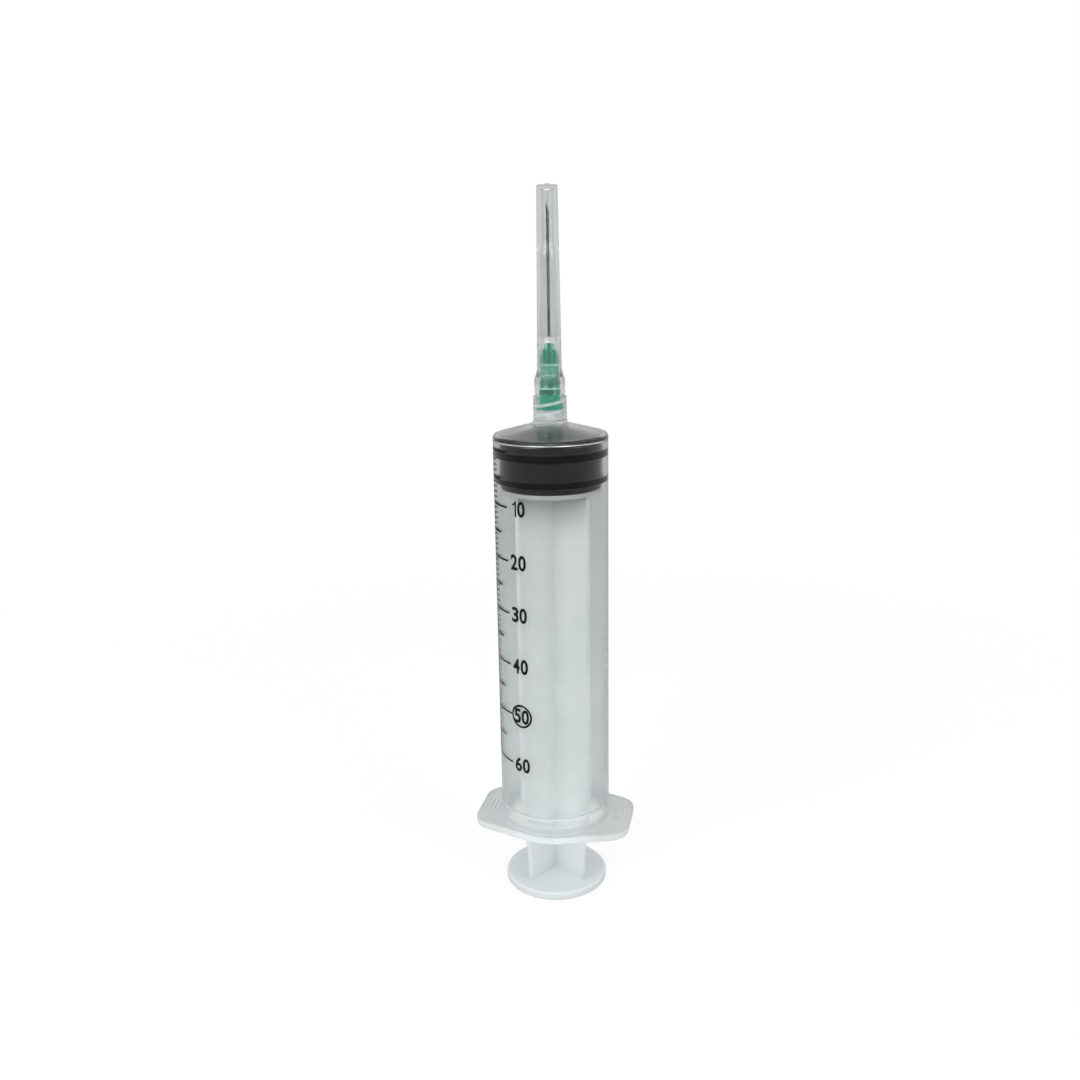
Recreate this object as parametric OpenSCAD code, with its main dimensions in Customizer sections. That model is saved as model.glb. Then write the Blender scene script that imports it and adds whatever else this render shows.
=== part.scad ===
// Luer lock syringe, 60 ml, with a capped hypodermic needle.
// It stands on its thumb rest, needle up, with the plunger fully pressed in.
// Millimetres. The origin is the centre of the thumb rest's underside, and +Z runs
// along the barrel towards the needle. The long way of the finger flange lies on X.

/* [Barrel] */
// Outer diameter of the barrel tube
barrel_od = 31.7; // [30:0.1:34]
// Wall thickness of the barrel tube
barrel_wall = 1.23; // [1:0.01:1.6]
// Length from the underside of the finger flange to the shoulder edge
barrel_len = 115.9; // [100:0.1:140]
// Height that the shoulder cone gains between the tube and the lock collar
shoulder_rise = 3; // [1.5:0.1:5]
// Axial thickness of the shoulder cone
shoulder_wall = 1.3; // [1:0.05:2]
// Radius that rounds the outer edge of the shoulder
shoulder_edge_r = 0.8; // [0.4:0.05:1.2]
// Height of the ring inside the mouth that stops the stopper coming out
stop_ring_h = 0.25; // [0.1:0.01:0.4]
// Width of that stop ring
stop_ring_w = 1; // [0.6:0.1:2]
// Height of the stop ring above the underside of the flange
stop_ring_lift = 6.9; // [4:0.1:12]
// Chamfer round the open mouth of the bore
mouth_chamfer = 0.4; // [0.2:0.05:0.6]

/* [Finger flange] */
// Distance by which a wing's end stands out from the tube
wing_reach = 6.85; // [5:0.05:12]
// Length of the straight end of a wing, corners included
flange_end_w = 23.6; // [18:0.2:28]
// Corner radius of the wings
flange_corner_r = 6.4; // [3:0.2:7]
// Distance by which the round middle of the flange stands out from the tube
flange_lip = 0.85; // [0.5:0.05:3]
// Thickness of the flange
flange_thick = 2.45; // [1.5:0.05:3.5]
// Grip ridges on each wing
grip_count = 4; // [2:1:4]
// Distance from one grip ridge to the next
grip_pitch = 1.3; // [1.1:0.05:1.4]
// Length of a grip ridge
grip_len = 6.4; // [4:0.1:10]
// Radius of a grip ridge's round back
grip_r = 0.4; // [0.3:0.05:0.5]
// Distance of the outermost grip ridge from the wing's end
grip_inset = 1.7; // [1.5:0.1:2]

/* [Luer lock] */
// Diameter that the collar loses from root to rim
collar_draft = 0.15; // [0:0.05:0.3]
// Diameter of the bore inside the lock collar
collar_bore_d = 7.95; // [7.9:0.05:8.1]
// Wall thickness of the lock collar at its root
collar_wall = 0.625; // [0.5:0.005:1.5]
// Height of the lock collar above the shoulder cone
collar_h = 7.4; // [7:0.1:10]
// Height of the collar's inner floor above its root
collar_floor_h = 0.9; // [0.5:0.1:1.5]
// Fillet between the collar and the shoulder
collar_fillet = 1.2; // [0.3:0.05:1.6]
// Distance by which the luer nozzle stands proud of the collar
luer_reach = 2.1; // [2:0.1:4]
// Diameter of the luer nozzle at its tip
luer_tip_d = 3.95; // [3.9:0.01:4.05]
// Change of diameter over length along the luer cone
luer_taper = 0.06; // [0.055:0.001:0.065]
// Diameter of the fluid way through the nozzle
nozzle_bore_d = 2.1; // [1.6:0.1:2.4]

/* [Plunger rod] */
// Diameter of the thumb rest
thumb_d = 29.9; // [24:0.1:36]
// Thickness of the thumb rest
thumb_thick = 2.45; // [1.8:0.05:4]
// Radius that rounds the thumb rest's edges
thumb_edge_r = 0.7; // [0.3:0.05:0.85]
// Gap between the thumb rest and the flange when the plunger is pressed in
press_gap = 16.6; // [8:0.1:30]
// Thickness of the four ribs
rib_t = 1.4; // [1:0.05:2]
// Gap between the rib edges and the bore over most of their length
rib_gap = 1.32; // [1:0.02:3]
// Distance by which the rib edges draw in towards the thumb rest
rib_draw_in = 2.4; // [1:0.1:4]
// Height over which the ribs narrow towards the thumb rest
rib_taper_h = 29; // [15:0.5:45]
// Fillet between the ribs and the thumb rest
rib_foot_fillet = 0.8; // [0.3:0.05:1.5]
// Radius of the round core where the ribs cross
rib_core_r = 1.3; // [1.1:0.05:2]
// Gap between the disc that pushes the stopper and the bore
disc_gap = 0.72; // [0.6:0.02:1]
// Thickness of that disc
push_disc_t = 1.3; // [1:0.05:2]
// Radius of the neck that passes the stopper's lip
neck_r = 5.2; // [4.5:0.1:6]
// Radius of the round head that the stopper snaps over
head_r = 7.2; // [6.6:0.1:8]
// Height of that head
head_h = 3; // [2:0.1:3.4]
// Turn of the ribs in the barrel as the plunger stands, from the diagonals of X and Y
rod_turn = 13; // [-45:1:45]

/* [Stopper] */
// Radial clearance between the stopper's sealing rings and the bore
ring_clear = 0.05; // [0.02:0.01:0.08]
// Clearance between the stopper's nose and the inside of the shoulder
seat_clear = 0.15; // [0.1:0.01:0.3]
// Gap between the stopper's nose and tail and the bore
body_gap = 0.72; // [0.6:0.02:1]
// Gap between the waist of the stopper and the bore
waist_gap = 1.27; // [1.1:0.01:2.1]
// Height of the plain wall in front of the first ring
stopper_nose_h = 2.55; // [2:0.05:4]
// Width of the first sealing ring
ring_front_w = 2; // [1.5:0.05:3]
// Distance between the two sealing rings
ring_space = 5.35; // [4:0.05:8]
// Width of the second sealing ring
ring_rear_w = 1.6; // [1.2:0.05:2.5]
// Height of the plain wall behind the second ring
stopper_tail_h = 1.75; // [1.2:0.05:3]
// Thickness of the lip that holds the plunger head
lip_t = 2.4; // [1.8:0.1:3]
// Clearance round the plunger head and neck
head_clear = 0.1; // [0.05:0.01:0.2]
// Clearance between the push disc and the stopper's tail
tail_clear = 0.05; // [0.02:0.01:0.1]

/* [Needle hub] */
// Radial clearance between the hub's socket and the luer nozzle
luer_clear = 0.03; // [0.01:0.01:0.05]
// Length of the luer nozzle inside the hub's socket
luer_engage = 5.83; // [5:0.01:6.5]
// Depth of the luer socket
socket_depth = 8.4; // [8:0.1:10]
// Wall thickness of the hub's lower barrel at its mouth
hub_wall_t = 0.72; // [0.6:0.01:0.8]
// Clearance between the locking lugs and the collar's bore
lug_clear = 0.125; // [0.05:0.005:0.3]
// Height of a locking lug in its middle
lug_mid_h = 1; // [0.8:0.05:1.1]
// Angle that a locking lug spans
lug_span = 140; // [80:5:150]
// Angle from a nose fin to the middle of the locking lug before it
lug_shift = 19; // [0:1:45]
// Axial travel of the lock for one turn of the hub
lock_lead = 5; // [4.5:0.1:5.5]
// Height from the hub's mouth to the end of its lower barrel
hub_barrel_h = 5.7; // [5:0.1:7]
// Height of the keyed block above the lower barrel
hub_block_h = 4; // [3:0.1:5]
// Height of the stepped rings between the lower barrel and the block
hub_step_h = 2.1; // [1.8:0.1:3]
// Distance by which the keyed block is drawn in from the lower barrel
block_in = 0.4; // [0.3:0.05:0.5]
// Distance by which the ring on top stands out from the block
ring_lip = 0.15; // [0.1:0.01:0.2]
// Thickness of that ring
hub_ring_t = 0.45; // [0.3:0.05:0.6]
// Height of the finned nose
nose_h = 5.6; // [4.5:0.1:8]
// Radius of the nose at its root
nose_root_r = 1.7; // [1.6:0.05:1.9]
// Radius of the nose at its tip
nose_tip_r = 1.35; // [1.25:0.05:1.5]
// Thickness of the nose fins
fin_t = 0.6; // [0.4:0.05:0.8]
// Width of the key slots down the block
key_slot_w = 1.1; // [0.9:0.05:1.3]
// Depth of the key slots
key_slot_depth = 0.45; // [0.35:0.05:0.55]
// Width of the groove round the block
block_groove_w = 0.5; // [0.3:0.05:0.8]
// Depth of that groove
block_groove_depth = 0.12; // [0.05:0.01:0.2]
// Turn of the hub and its cap in the collar as the lock stands
hub_turn = 12; // [-45:1:45]

/* [Cannula and bond] */
// Outer diameter of the cannula
cannula_od = 0.8; // [0.6:0.05:1.2]
// Diameter of the cannula's bore
cannula_bore_d = 0.5; // [0.3:0.05:0.55]
// Length of the cannula beyond the hub's nose
needle_len = 36; // [25:0.5:50]
// Angle of the bevel at the cannula's point
bevel_angle = 17; // [12:1:25]
// Clearance of the cannula in the hub and in the bond bead
bond_clear = 0.02; // [0.01:0.01:0.03]
// Height of the bond bead
bead_h = 1.5; // [0.8:0.1:2]

/* [Needle cap] */
// Gap between the cap's mouth and the lock collar
cap_gap = 0.4; // [0.3:0.05:1]
// Room between the needle's point and the closed end of the cap's hollow
point_room = 3.08; // [1:0.01:4]
// Outer diameter at the cap's closed end
cap_tip_d = 5.5; // [5.2:0.1:6.5]
// Wall thickness just above the skirt
cap_wall = 0.6; // [0.5:0.05:0.9]
// Wall thickness of the skirt at its mouth
skirt_wall = 1.15; // [0.9:0.05:1.5]
// Height of the skirt
skirt_h = 4; // [3:0.1:5]
// Height of the cone between the skirt and the cap's body
skirt_cone_h = 1.7; // [1:0.1:3]
// Thickness of the cap's closed end
cap_end_t = 1.2; // [1:0.1:3]
// Diameter of the wide bore over the hub's nose and the lower needle
cap_bore_d = 4.3; // [4:0.1:4.6]
// Wall thickness round the narrow bore over the needle's upper part
cap_tip_wall = 1.2; // [0.9:0.05:1.6]
// Distance from the cap's closed end to the step between the two bores
cap_step_drop = 16.8; // [12:0.2:25]
// Length over which the wider bore narrows to the tip bore
cap_step_h = 2; // [1:0.1:4]
// Length over which the hub's room narrows to the needle's bore
cap_neck_h = 2.4; // [1:0.1:4]
// Clearance between the cap and the hub's parts that it covers
cap_clear = 0.1; // [0.05:0.01:0.15]
// Grip ribs round the skirt
skirt_rib_count = 8; // [4:1:10]
// Width of a skirt rib
skirt_rib_w = 0.6; // [0.4:0.05:0.8]
// Diameter of the gate mark on the closed end
gate_d = 1.2; // [0.8:0.1:1.6]
// Height of the gate mark
gate_h = 0.35; // [0.2:0.05:0.6]

/* [Hidden] */
$fn = 96;

// Overrun of the cuts, and the rounding of small edges
over = 1;
small_edge = 0.15;
arc_steps = 6;

// Places along the barrel
barrel_r = barrel_od / 2;
bore_r = barrel_r - barrel_wall;
base_z = thumb_thick + press_gap;
edge_z = base_z + barrel_len;
flange_span = barrel_od + 2 * wing_reach;
flange_disc_r = barrel_r + flange_lip;
collar_bore_r = collar_bore_d / 2;
collar_r = collar_bore_r + collar_wall;
collar_rim_r = collar_r - collar_draft / 2;
cone_slope = shoulder_rise / (barrel_r - collar_r);
cone_norm = sqrt(1 + cone_slope * cone_slope);
cone_angle = atan(cone_slope);
collar_root_z = edge_z + shoulder_rise;
collar_top_z = collar_root_z + collar_h;
collar_floor_z = collar_root_z + collar_floor_h;
tip_z = collar_top_z + luer_reach;
inner_edge_z = edge_z - shoulder_wall;
nozzle_bore_r = nozzle_bore_d / 2;
stop_ring_z = base_z + stop_ring_lift;
stop_ring_flat_share = 0.4;
flange_hole_r = (bore_r + mouth_chamfer + barrel_r) / 2;
grip_sink_share = 0.3;

// Places along the plunger
stopper_body_r = bore_r - body_gap;
stopper_waist_r = bore_r - waist_gap;
push_disc_r = bore_r - disc_gap;
rib_tip_r = bore_r - rib_gap;
rib_foot_r = rib_tip_r - rib_draw_in;
seat_z = inner_edge_z + cone_slope * (bore_r - stopper_body_r) - seat_clear;
ring_front_top_z = seat_z - stopper_nose_h;
ring_front_low_z = ring_front_top_z - ring_front_w;
ring_rear_top_z = ring_front_low_z - ring_space;
ring_rear_low_z = ring_rear_top_z - ring_rear_w;
tail_z = ring_rear_low_z - stopper_tail_h;
ring_r = bore_r - ring_clear;
ring_slope_h = ring_r - stopper_waist_r;
ring_slope_share = 0.35;
disc_top_z = tail_z - tail_clear;
disc_low_z = disc_top_z - push_disc_t;
head_low_z = tail_z + lip_t + head_clear;
head_top_z = head_low_z + head_h;
head_edge_share = 0.2;
head_lead_share = 0.1;

// Places along the needle
hub_z = tip_z - luer_engage;
socket_mouth_r = luer_r(hub_z) + luer_clear;
hub_r = socket_mouth_r + hub_wall_t;
lug_r = collar_bore_r - lug_clear;
hub_block_r = hub_r - block_in;
hub_ring_r = hub_block_r + ring_lip;
hub_barrel_z = hub_z + hub_barrel_h;
hub_block_z = hub_barrel_z + hub_step_h;
hub_ring_z = hub_block_z + hub_block_h;
nose_z = hub_ring_z + hub_ring_t;
nose_tip_z = nose_z + nose_h;
socket_end_z = hub_z + socket_depth;
cannula_r = cannula_od / 2;
cannula_low_z = socket_end_z + small_edge;
needle_tip_z = nose_tip_z + needle_len;
fin_count = 4;
step_flat_shares = [0.18, 0.5, 0.68];
step_groove = 0.25;
block_groove_share = 0.34;

// Places along the cap
cap_z = collar_top_z + cap_gap;
cap_top_z = needle_tip_z + point_room + cap_end_t;
cap_tip_r = cap_tip_d / 2;
block_bore_r = hub_ring_r + cap_clear;
cap_waist_r = block_bore_r + cap_wall;
skirt_bore_r = hub_r + cap_clear;
skirt_r = skirt_bore_r + skirt_wall;
skirt_top_z = cap_z + skirt_h;
cap_waist_z = skirt_top_z + skirt_cone_h;
cap_edge_r = 0.45;
cap_bore_r = cap_bore_d / 2;
cap_tip_bore_r = cap_tip_r - cap_tip_wall;
cap_step_z = cap_top_z - cap_step_drop;
skirt_draft_share = 0.96;
fin_bore_z = nose_tip_z - nose_h / 4;
key_w = key_slot_w - 2 * cap_clear;
key_h = key_slot_depth - cap_clear;

// Points of an arc about c, of radius r, from angle a to angle b
function arc(c, r, a, b) = [
    for (i = [0 : arc_steps])
        let (t = a + (b - a) * i / arc_steps)
            [c[0] + r * cos(t), c[1] + r * sin(t)]
];

// Height of the outer shoulder cone at a radius
function shoulder_z(r) = edge_z + cone_slope * (barrel_r - r);

// Radius of the luer nozzle at a height
function luer_r(z) = luer_tip_d / 2 + (tip_z - z) * luer_taper / 2;

// Outside of the tube, shoulder, collar and nozzle, from the mouth up
function barrel_outside() = concat(
    [[bore_r + mouth_chamfer, base_z], [barrel_r, base_z]],
    arc([barrel_r - shoulder_edge_r,
         edge_z + cone_slope * shoulder_edge_r - shoulder_edge_r * cone_norm],
        shoulder_edge_r, 0, 90 - cone_angle),
    arc([collar_r + collar_fillet,
         shoulder_z(collar_r + collar_fillet) + collar_fillet * cone_norm],
        collar_fillet, 270 - cone_angle, 180),
    [[collar_rim_r, collar_top_z - small_edge],
     [collar_rim_r - small_edge, collar_top_z],
     [collar_bore_r + small_edge, collar_top_z],
     [collar_bore_r, collar_top_z - small_edge],
     [collar_bore_r, collar_floor_z],
     [luer_r(collar_floor_z), collar_floor_z],
     [luer_r(tip_z - small_edge), tip_z - small_edge],
     [luer_r(tip_z) - small_edge, tip_z]]
);

// Inside of the nozzle, shoulder and bore, from the nozzle's tip down
function barrel_inside() = [
    [nozzle_bore_r, tip_z],
    [nozzle_bore_r, inner_edge_z + cone_slope * (bore_r - nozzle_bore_r)],
    [bore_r, inner_edge_z],
    [bore_r, stop_ring_z + stop_ring_w / 2],
    [bore_r - stop_ring_h, stop_ring_z + stop_ring_w * stop_ring_flat_share / 2],
    [bore_r - stop_ring_h, stop_ring_z - stop_ring_w * stop_ring_flat_share / 2],
    [bore_r, stop_ring_z - stop_ring_w / 2],
    [bore_r, base_z + mouth_chamfer]
];

// Plan of the finger flange: a round middle and two wings with rounded corners
module flange_plan() {
    corner_x = flange_span / 2 - flange_corner_r;
    corner_y = flange_end_w / 2 - flange_corner_r;
    hull() {
        circle(r = flange_disc_r, $fn = 96);
        for (x = [-corner_x, corner_x])
            for (y = [-corner_y, corner_y])
                translate([x, y])
                    circle(r = flange_corner_r, $fn = 48);
    }
}

// Raised ridges on the needle side of both wings, kept clear of the bore
module grip_ridges() {
    difference() {
        for (side = [-1, 1])
            for (i = [0 : grip_count - 1])
                translate([side * (flange_span / 2 - grip_inset - i * grip_pitch), 0,
                           base_z + flange_thick - grip_r * grip_sink_share])
                    rotate([90, 0, 0])
                        cylinder(r = grip_r, h = grip_len, center = true, $fn = 32);
        translate([0, 0, base_z])
            cylinder(r = flange_hole_r, h = flange_thick + over);
    }
}

module barrel() {
    color([0.86, 0.9, 0.9, 0.5]) {
        rotate_extrude()
            polygon(concat(barrel_outside(), barrel_inside()));
        translate([0, 0, base_z])
            linear_extrude(flange_thick)
                difference() {
                    flange_plan();
                    circle(r = flange_hole_r);
                }
        grip_ridges();
    }
}

// Outline of the rubber stopper from its tail up to its conical nose
function stopper_outside() = [
    [stopper_body_r, tail_z],
    [stopper_body_r, ring_rear_low_z - ring_slope_h * ring_slope_share],
    [ring_r, ring_rear_low_z],
    [ring_r, ring_rear_top_z],
    [stopper_waist_r, ring_rear_top_z + ring_slope_h * ring_slope_share],
    [stopper_waist_r, ring_front_low_z - ring_slope_h * ring_slope_share],
    [ring_r, ring_front_low_z],
    [ring_r, ring_front_top_z],
    [stopper_body_r, ring_front_top_z + ring_slope_h * ring_slope_share],
    [stopper_body_r, seat_z],
    [0, seat_z + cone_slope * stopper_body_r]
];

// Socket in the stopper's back that snaps over the plunger head
module head_socket() {
    lead = head_r * head_lead_share;
    rotate_extrude()
        polygon([
            [0, tail_z - over],
            [neck_r + head_clear + lead + over, tail_z - over],
            [neck_r + head_clear + lead, tail_z],
            [neck_r + head_clear, tail_z + lead],
            [neck_r + head_clear, tail_z + lip_t],
            [head_r + head_clear, tail_z + lip_t],
            [head_r + head_clear, head_top_z + head_clear],
            [0, head_top_z + head_clear]
        ]);
}

module stopper() {
    color([0.1, 0.1, 0.11])
        difference() {
            rotate_extrude()
                polygon(concat([[0, tail_z]], stopper_outside()));
            head_socket();
        }
}

// Thumb rest with rounded edges
module thumb_rest() {
    r = thumb_d / 2 - thumb_edge_r;
    rotate_extrude()
        polygon(concat(
            [[0, 0]],
            arc([r, thumb_edge_r], thumb_edge_r, -90, 0),
            arc([r, thumb_thick - thumb_edge_r], thumb_edge_r, 0, 90),
            [[0, thumb_thick]]
        ));
}

// One plate of the cross, which narrows towards the thumb rest
module rib_plate() {
    low = thumb_thick - thumb_edge_r;
    taper_z = thumb_thick + rib_taper_h;
    rotate([90, 0, 0])
        linear_extrude(rib_t, center = true)
            polygon([
                [-rib_foot_r, low], [rib_foot_r, low],
                [rib_foot_r, thumb_thick],
                [rib_tip_r, taper_z], [rib_tip_r, disc_low_z + small_edge],
                [-rib_tip_r, disc_low_z + small_edge], [-rib_tip_r, taper_z],
                [-rib_foot_r, thumb_thick]
            ]);
}

// Fillets on both sides of a plate's foot, along its whole length
module rib_foot() {
    f = rib_foot_fillet;
    rotate([90, 0, 90])
        linear_extrude(2 * rib_foot_r - small_edge, center = true)
            polygon(concat(
                [[rib_t / 2 + f, thumb_thick - thumb_edge_r / 2]],
                arc([rib_t / 2 + f, thumb_thick + f], f, 270, 180),
                arc([-rib_t / 2 - f, thumb_thick + f], f, 0, -90),
                [[-rib_t / 2 - f, thumb_thick - thumb_edge_r / 2]]
            ));
}

// Push disc, neck and round head at the front of the rod
module rod_front() {
    edge = head_h * head_edge_share;
    rotate_extrude()
        polygon([
            [0, disc_low_z],
            [push_disc_r - small_edge, disc_low_z],
            [push_disc_r, disc_low_z + small_edge],
            [push_disc_r, disc_top_z - small_edge],
            [push_disc_r - small_edge, disc_top_z],
            [neck_r, disc_top_z],
            [neck_r, head_low_z],
            [head_r, head_low_z],
            [head_r, head_top_z - edge],
            [head_r - edge, head_top_z],
            [0, head_top_z]
        ]);
}

module plunger_rod() {
    color([0.9, 0.93, 0.93, 0.7]) {
        thumb_rest();
        for (side = [0, 90])
            rotate([0, 0, 45 + rod_turn + side]) {
                rib_plate();
                rib_foot();
            }
        translate([0, 0, thumb_thick - thumb_edge_r])
            cylinder(r = rib_core_r, h = disc_low_z + small_edge - thumb_thick + thumb_edge_r);
        rod_front();
    }
}

// Wall of the hub with the luer socket and the way for the cannula
module hub_wall() {
    step = [for (s = step_flat_shares) hub_barrel_z + hub_step_h * s];
    socket_end_r = socket_mouth_r - socket_depth * luer_taper / 2;
    groove_z = hub_block_z + hub_block_h * block_groove_share;
    rotate_extrude()
        polygon([
            [socket_mouth_r, hub_z],
            [hub_r - small_edge, hub_z],
            [hub_r, hub_z + small_edge],
            [hub_r, hub_barrel_z],
            [hub_block_r + step_groove, step[0]],
            [hub_block_r, step[0]],
            [hub_block_r, step[1]],
            [hub_block_r + step_groove, step[1]],
            [hub_block_r + step_groove, step[2]],
            [hub_block_r, hub_block_z],
            [hub_block_r, groove_z - block_groove_w / 2],
            [hub_block_r - block_groove_depth, groove_z],
            [hub_block_r, groove_z + block_groove_w / 2],
            [hub_block_r, hub_ring_z],
            [hub_ring_r, hub_ring_z],
            [hub_ring_r, nose_z],
            [nose_root_r, nose_z],
            [nose_tip_r, nose_tip_z],
            [cannula_r + bond_clear, nose_tip_z],
            [cannula_r + bond_clear, socket_end_z],
            [socket_end_r, socket_end_z]
        ]);
}

// Two lugs with a flat foot and a top that climbs at the lead of the collar's double thread
module locking_lugs() {
    tilt = atan(lock_lead / (PI * (hub_r + lug_r)));
    root_r = (socket_mouth_r + hub_r) / 2;
    for (side = [-90, 90])
        rotate([0, 0, side - lug_shift])
            translate([0, 0, hub_z + small_edge])
                intersection() {
                    rotate([0, 0, -lug_span / 2])
                        rotate_extrude(angle = lug_span)
                            translate([root_r, 0])
                                square([lug_r - root_r, lug_mid_h * 3]);
                    translate([0, 0, lug_mid_h])
                        rotate([tilt, 0, 0])
                            translate([-lug_r, -lug_r * 2, -lug_mid_h * 6])
                                cube([lug_r * 3, lug_r * 4, lug_mid_h * 6]);
                }
}

// Fins down the nose, wide at the ring and drawn in towards the bond bead
module nose_fins() {
    top = nose_tip_z - nose_h / 4;
    for (i = [0 : fin_count / 2 - 1])
        rotate([0, 0, i * 360 / fin_count])
            rotate([90, 0, 0])
                linear_extrude(fin_t, center = true)
                    difference() {
                        polygon([
                            [-hub_ring_r, nose_z - hub_ring_t / 2],
                            [hub_ring_r, nose_z - hub_ring_t / 2],
                            [hub_ring_r, nose_z + nose_h / 3],
                            [nose_tip_r, top],
                            [-nose_tip_r, top],
                            [-hub_ring_r, nose_z + nose_h / 3]
                        ]);
                        translate([-cannula_r - bond_clear - small_edge, nose_z - over])
                            square([2 * (cannula_r + bond_clear + small_edge), nose_h + over]);
                    }
}

// Slots down the block and through its ring, which the cap's keys slide in
module key_slots() {
    for (i = [0 : fin_count - 1])
        rotate([0, 0, (i + 0.5) * 360 / fin_count])
            translate([hub_block_r - key_slot_depth, -key_slot_w / 2, hub_block_z + key_slot_w / 2])
                cube([hub_ring_r, key_slot_w, nose_z - hub_block_z]);
}

module needle_hub() {
    color([0.25, 0.65, 0.5])
        rotate([0, 0, hub_turn])
            difference() {
                union() {
                    hub_wall();
                    locking_lugs();
                    nose_fins();
                }
                key_slots();
            }
}

// Bead of adhesive round the cannula at the tip of the nose
module bond_bead() {
    hole_r = cannula_r + bond_clear;
    low = nose_tip_z + bond_clear;
    r = nose_tip_r - small_edge;
    top_r_share = 0.45;
    color([0.9, 0.86, 0.88])
        rotate_extrude()
            polygon([
                [hole_r, low],
                [r, low],
                [r, low + bead_h * top_r_share],
                [hole_r + (r - hole_r) * top_r_share, low + bead_h],
                [hole_r, low + bead_h]
            ]);
}

// Steel tube with a ground bevel at its point
module cannula() {
    color([0.75, 0.76, 0.78])
        difference() {
            translate([0, 0, cannula_low_z])
                cylinder(r = cannula_r, h = needle_tip_z - cannula_low_z);
            translate([0, 0, cannula_low_z - over])
                cylinder(d = cannula_bore_d, h = needle_tip_z - cannula_low_z + 2 * over);
            translate([-cannula_r, 0, needle_tip_z])
                rotate([0, -bevel_angle, 0])
                    translate([0, -cannula_od, -needle_len / 2])
                        cube([cannula_od * 2, cannula_od * 2, needle_len]);
        }
}

// Outside of the needle cap from its mouth up to the closed end
function cap_outside() = concat(
    [[skirt_r - small_edge, cap_z], [skirt_r, cap_z + small_edge],
     [skirt_r * skirt_draft_share, skirt_top_z], [cap_waist_r, cap_waist_z]],
    arc([cap_tip_r - cap_edge_r, cap_top_z - cap_edge_r], cap_edge_r, 0, 90)
);

// Hollow of the needle cap, stepped to clear the hub and then the needle
module cap_hollow() {
    rotate_extrude()
        polygon([
            [0, cap_z - over],
            [skirt_bore_r + small_edge, cap_z - over],
            [skirt_bore_r + small_edge, cap_z],
            [skirt_bore_r, hub_barrel_z + cap_clear],
            [block_bore_r, hub_barrel_z + cap_clear + hub_step_h / 2],
            [block_bore_r, fin_bore_z],
            [cap_bore_r, fin_bore_z + cap_neck_h],
            [cap_bore_r, cap_step_z],
            [cap_tip_bore_r, cap_step_z + cap_step_h],
            [cap_tip_bore_r, cap_top_z - cap_end_t],
            [0, cap_top_z - cap_end_t]
        ]);
}

// Keys inside the cap that turn the hub by its slots
module cap_keys() {
    key_low_z = hub_block_z + key_slot_w;
    wall_in = (cap_waist_r - block_bore_r) / 2;
    for (i = [0 : fin_count - 1])
        rotate([0, 0, (i + 0.5) * 360 / fin_count])
            translate([hub_block_r - key_h, -key_w / 2, key_low_z])
                cube([block_bore_r + wall_in - hub_block_r + key_h, key_w, hub_ring_z - key_low_z]);
}

// Short grip ribs down the skirt's cone
module skirt_ribs() {
    rib_in = skirt_r - cap_waist_r;
    for (i = [0 : skirt_rib_count - 1])
        rotate([0, 0, i * 360 / skirt_rib_count])
            rotate([90, 0, 0])
                linear_extrude(skirt_rib_w, center = true)
                    polygon([
                        [cap_waist_r - rib_in / 2, skirt_top_z - skirt_h / 2],
                        [skirt_r, skirt_top_z - skirt_h / 2],
                        [skirt_r, skirt_top_z],
                        [cap_waist_r, cap_waist_z + skirt_cone_h / 2],
                        [cap_waist_r - rib_in / 2, cap_waist_z + skirt_cone_h / 2]
                    ]);
}

module needle_cap() {
    color([0.9, 0.92, 0.92, 0.35])
        rotate([0, 0, hub_turn]) {
            difference() {
                union() {
                    rotate_extrude()
                        polygon(concat([[0, cap_z]], cap_outside(), [[0, cap_top_z]]));
                    skirt_ribs();
                    translate([0, 0, cap_top_z - small_edge])
                        cylinder(d = gate_d, h = gate_h + small_edge);
                }
                cap_hollow();
            }
            cap_keys();
        }
}

barrel();
stopper();
plunger_rod();
needle_hub();
bond_bead();
cannula();
needle_cap();
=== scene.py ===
"""Luer lock syringe, 60 ml, with a capped needle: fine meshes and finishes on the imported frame.

Sizes in the classes are millimetres, and a mesh becomes metres when it is made a piece. Each
class stands on the heights of its CAD node, and an angle round the barrel is counted from the
side that faces -Y, positive towards +X. PHOTO_TURN is how far round the part the photograph's
camera stands, in degrees. SHOULDER_SLOPE and LUER_TAPER are changes for each millimetre.
"""

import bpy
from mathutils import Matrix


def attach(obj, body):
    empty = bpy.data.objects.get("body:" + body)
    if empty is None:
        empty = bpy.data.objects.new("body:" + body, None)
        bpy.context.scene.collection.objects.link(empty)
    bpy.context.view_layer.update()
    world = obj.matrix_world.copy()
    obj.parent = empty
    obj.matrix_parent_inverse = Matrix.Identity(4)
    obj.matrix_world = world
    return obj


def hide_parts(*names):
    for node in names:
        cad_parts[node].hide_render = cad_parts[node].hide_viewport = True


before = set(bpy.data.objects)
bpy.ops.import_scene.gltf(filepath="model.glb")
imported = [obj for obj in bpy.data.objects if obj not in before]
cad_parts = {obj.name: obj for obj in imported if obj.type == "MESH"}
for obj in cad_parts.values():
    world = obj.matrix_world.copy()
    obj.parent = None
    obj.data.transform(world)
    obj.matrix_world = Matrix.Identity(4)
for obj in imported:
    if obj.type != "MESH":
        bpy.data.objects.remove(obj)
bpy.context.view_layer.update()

import logging
import math
from dataclasses import dataclass, replace
from enum import Enum
from typing import Iterable, Sequence

import bmesh
import bpy
from bmesh.types import BMEdge, BMesh, BMVert
from bpy.types import Material, Node, NodeSocket, Object, World
from mathutils import Matrix, Vector

log = logging.getLogger("syringe")

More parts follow.
